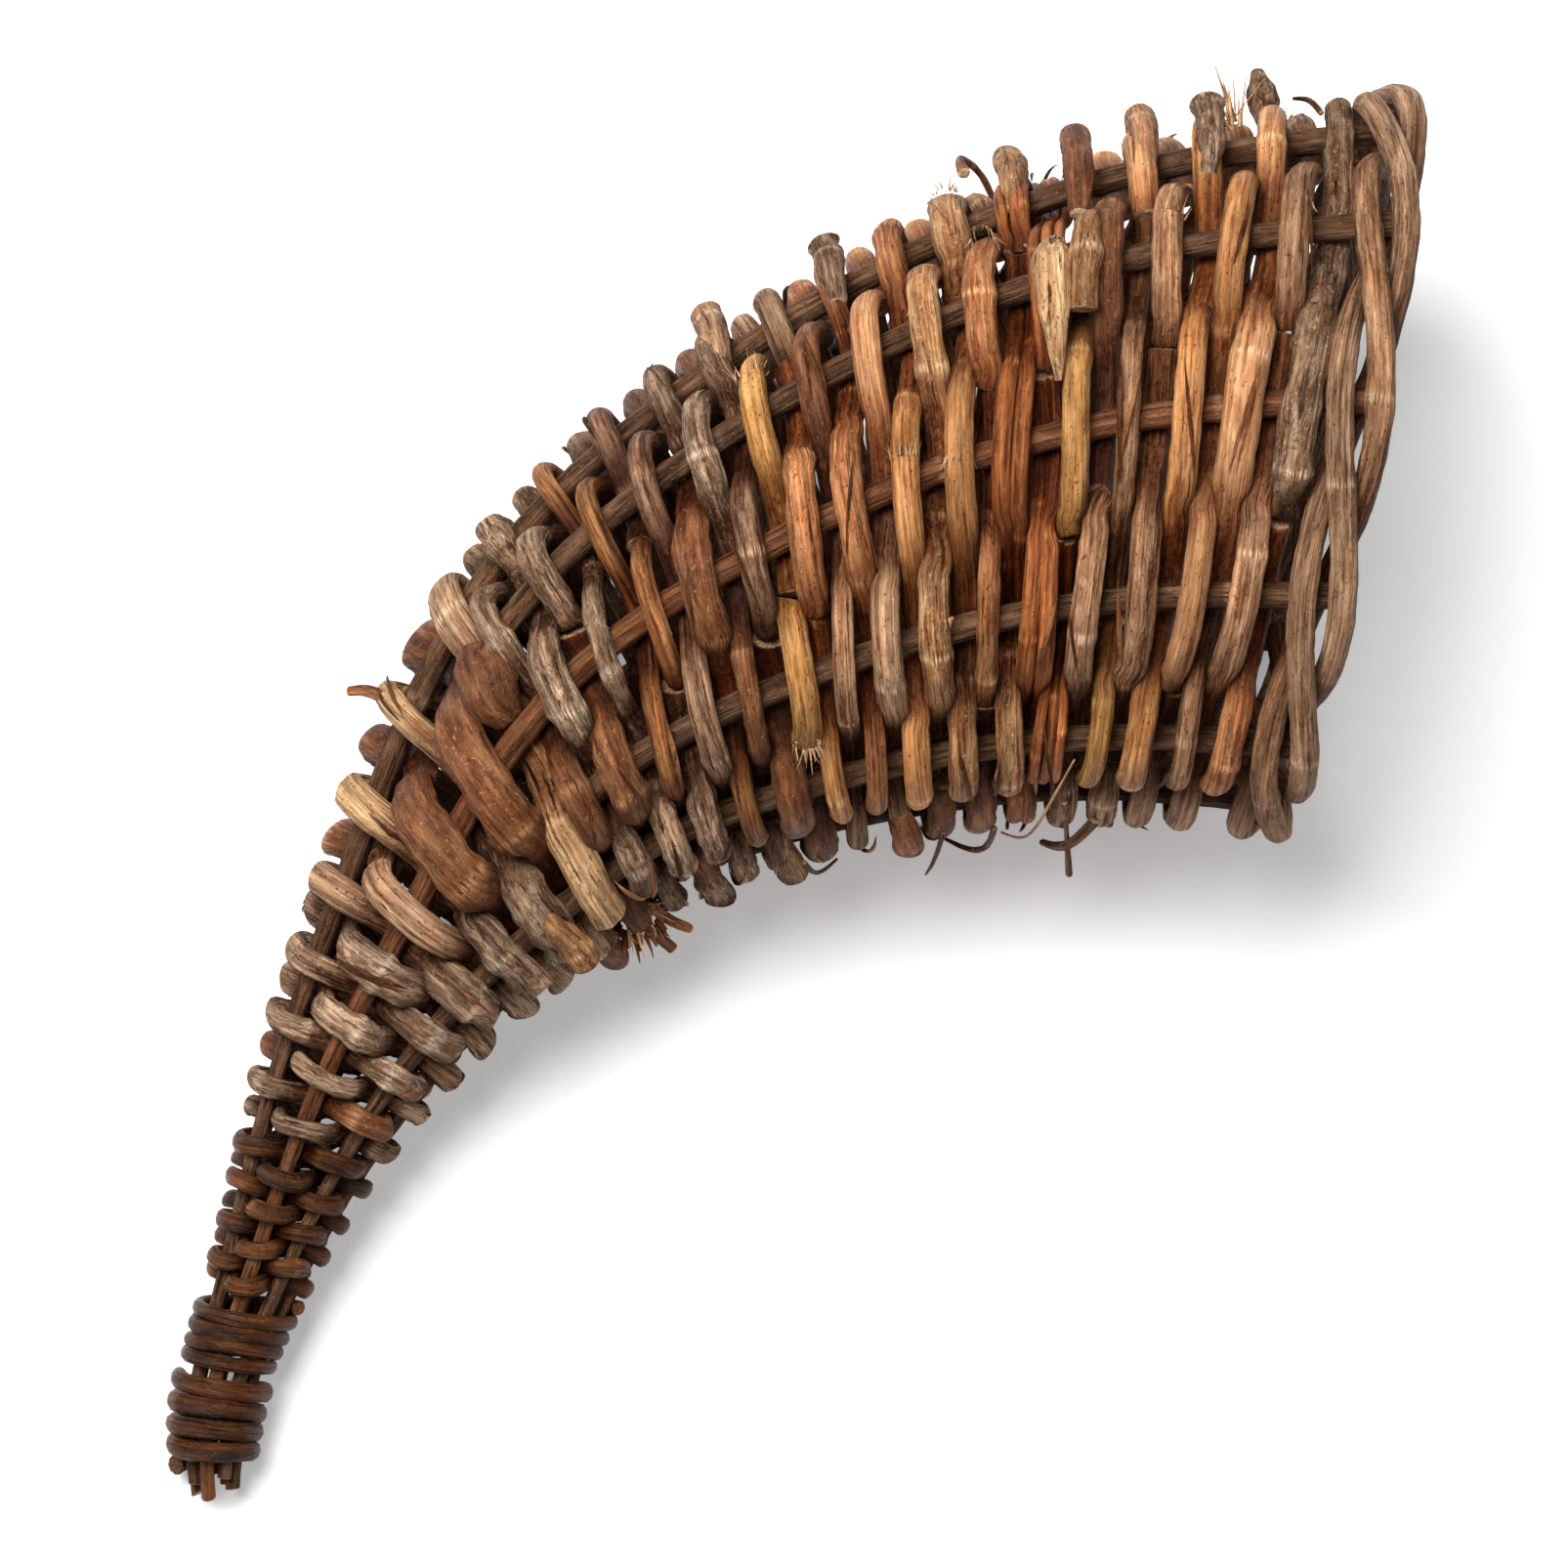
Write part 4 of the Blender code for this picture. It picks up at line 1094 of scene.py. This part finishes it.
# %% Slivers that have split off along the vines
def sliver(work, w, reach, rng):
    """A thin strip that lies along the weave and drifts across it, just outside the vine's own surface."""
    path, normals, u, angle, c = woven_path(work, np.linspace(w, w + reach, 16), cane_depth)
    side = np.cross(normals, directions(path))
    share = np.linspace(-1, 1, 16)
    drift = rng.uniform(-0.35, 0.35) + rng.uniform(-0.3, 0.3) * share
    out = 0.46 + 0.25 * rng.uniform(0, 1) * share**2 - 0.4 * drift**2
    path = path + normals * (cane_depth(u) * out)[:, None] + side * (cane_breadth(u) * drift)[:, None]
    size = rng.uniform(0.0005, 0.0011) * (1.05 - share**2)
    part = carried(path, normals, size, size * 0.6, 6, rng, smooth_form)
    # A little painted shade, the same over the whole sliver.
    return soiled(part, 0.1, rng.uniform(0.2, 1.0))


for work, count, reach in ((body, 150, 0.7), (bend, 40, 0.8)):
    for finish in ("straw", "rust", "brown"):
        rng = np.random.default_rng(900 + count + len(finish))
        parts = []
        while len(parts) < count // 3:
            w = 2 * rng.integers(1, work.crossings // 2) + work.passed % 2 - 0.35
            parts.append(sliver(work, w, reach * rng.uniform(0.5, 1.0), rng))
        make_piece(f"{work.name}_{finish}_slivers", joined(parts), finish, work.nodes(0, 1))

# %% Rootlets and one long fibre
rootlets = (  # places, diameters
    ([(176.2, 0.0, 0.006), (176.0, -0.002, 0.010), (175.8, -0.0035, 0.0125)], (0.0010, 0.0008, 0.0004)),
    ([(198.1, 0.002, 0.006), (197.6, 0.0005, 0.0105), (197.2, -0.0035, 0.0140), (197.0, -0.0075, 0.0142)],
     (0.0012, 0.0011, 0.0009, 0.0005)),
    ([(242.4, 0.0, 0.004), (242.0, 0.001, 0.009), (241.8, 0.0015, 0.0150)], (0.0010, 0.0009, 0.0013)),
    ([(253.2, 0.002, 0.006), (253.0, -0.002, 0.0095), (252.7, -0.006, 0.0100)], (0.0020, 0.0018, 0.0012)),
    ([(99.1, 0.0, 0.006), (98.8, 0.002, 0.0085), (98.6, 0.0055, 0.0080)], (0.0009, 0.0008, 0.0005)),
)
for number, (places, diameters) in enumerate(rootlets):
    twig(f"rootlet_{number + 1}", body, places, diameters, "plum", 860 + number, sides=8)
twig("long_fibre", body, [(209.0, 0.0, 0.0068), (220.4, 0.0, 0.0092), (231.8, 0.0, 0.0088), (243.1, 0.0, 0.0070)],
     (0.0004, 0.0005, 0.0005, 0.0004), "straw", 870, sides=6)
print("pieces with the loose ends:", len(made))

# %% [markdown]
# ## Floor, background and light
# The basket lies on a plain white surface. A bare white plane would turn grey under soft light, so the camera sees it
# a little lighter than the lamps make it, and the shadow stays soft. Light comes from one large lamp at the upper left
# and a weak one opposite, while the world is bright only where it is seen or mirrored: that keeps the deep gaps
# between the canes dark and the canes their own colours.

# %% Floor
floor_value, floor_lift, floor_reach = 0.90, 0.28, 3.0
pale_floor = bpy.data.materials.new("pale floor")
pale_floor.use_nodes = True
n = Nodes(pale_floor.node_tree)
shader = pale_floor.node_tree.nodes["Principled BSDF"]
to_camera = n.maths("MULTIPLY", n.add("ShaderNodeLightPath").outputs["Is Camera Ray"], floor_lift)
n.tree.links.new(to_camera, shader.inputs["Emission Strength"])
shader.inputs["Emission Color"].default_value = (1, 1, 1, 1)
shader.inputs["Base Color"].default_value = (floor_value, floor_value, floor_value, 1)
shader.inputs["Roughness"].default_value = 0.9
shader.inputs["Specular IOR Level"].default_value = 0.2

floor_mesh = bpy.data.meshes.new("floor")
floor_corners = [(x * floor_reach, y * floor_reach, 0) for x, y in ((-1, -1), (1, -1), (1, 1), (-1, 1))]
floor_mesh.from_pydata(floor_corners, [], [(0, 1, 2, 3)])
floor_mesh.materials.append(pale_floor)
floor = bpy.data.objects.new("floor", floor_mesh)
scene.collection.objects.link(floor)

# %% Lamps and world
def lamp(name, place, size, power):
    """A square area lamp at a place given in the camera's right, up and towards, aimed at the basket."""
    data = bpy.data.lights.new(name, "AREA")
    data.size, data.energy = size, power
    light = bpy.data.objects.new(name, data)
    scene.collection.objects.link(light)
    spot = aim + sum(axis * value for axis, value in zip(axes, place))
    away = (spot - aim) / np.linalg.norm(spot - aim)
    side = np.cross((0.0, 0.0, 1.0), away)
    side /= np.linalg.norm(side)
    light.matrix_world = standing([side, np.cross(away, side), away], spot)


lamp("key lamp", (-0.34, 0.52, 1.10), 0.75, 29.0)
lamp("fill lamp", (0.9, -0.2, 1.1), 1.0, 3.0)

seen_light, hidden_light = 1.0, 0.08
world = bpy.data.worlds.new("studio")
scene.world = world
world.use_nodes = True
n = Nodes(world.node_tree)
rays = n.add("ShaderNodeLightPath").outputs
seen = n.maths("MAXIMUM", rays["Is Camera Ray"], n.maths("MAXIMUM", rays["Is Glossy Ray"], rays["Is Transmission Ray"]))
strength = n.maths("ADD", n.maths("MULTIPLY", seen, seen_light - hidden_light), hidden_light)
background = world.node_tree.nodes["Background"]
background.inputs["Color"].default_value = (1, 1, 1, 1)
world.node_tree.links.new(strength, background.inputs["Strength"])
scene.view_settings.view_transform = "Standard"
print("lamps:", len(bpy.data.lights), "and the world's unseen light:", hidden_light)

# %% [markdown]
# ## Closing
# The number of triangles in all the pieces made is printed.

# %% Number of triangles
print("triangles:", sum(sum(len(p.vertices) - 2 for p in piece.data.polygons) for piece in made))
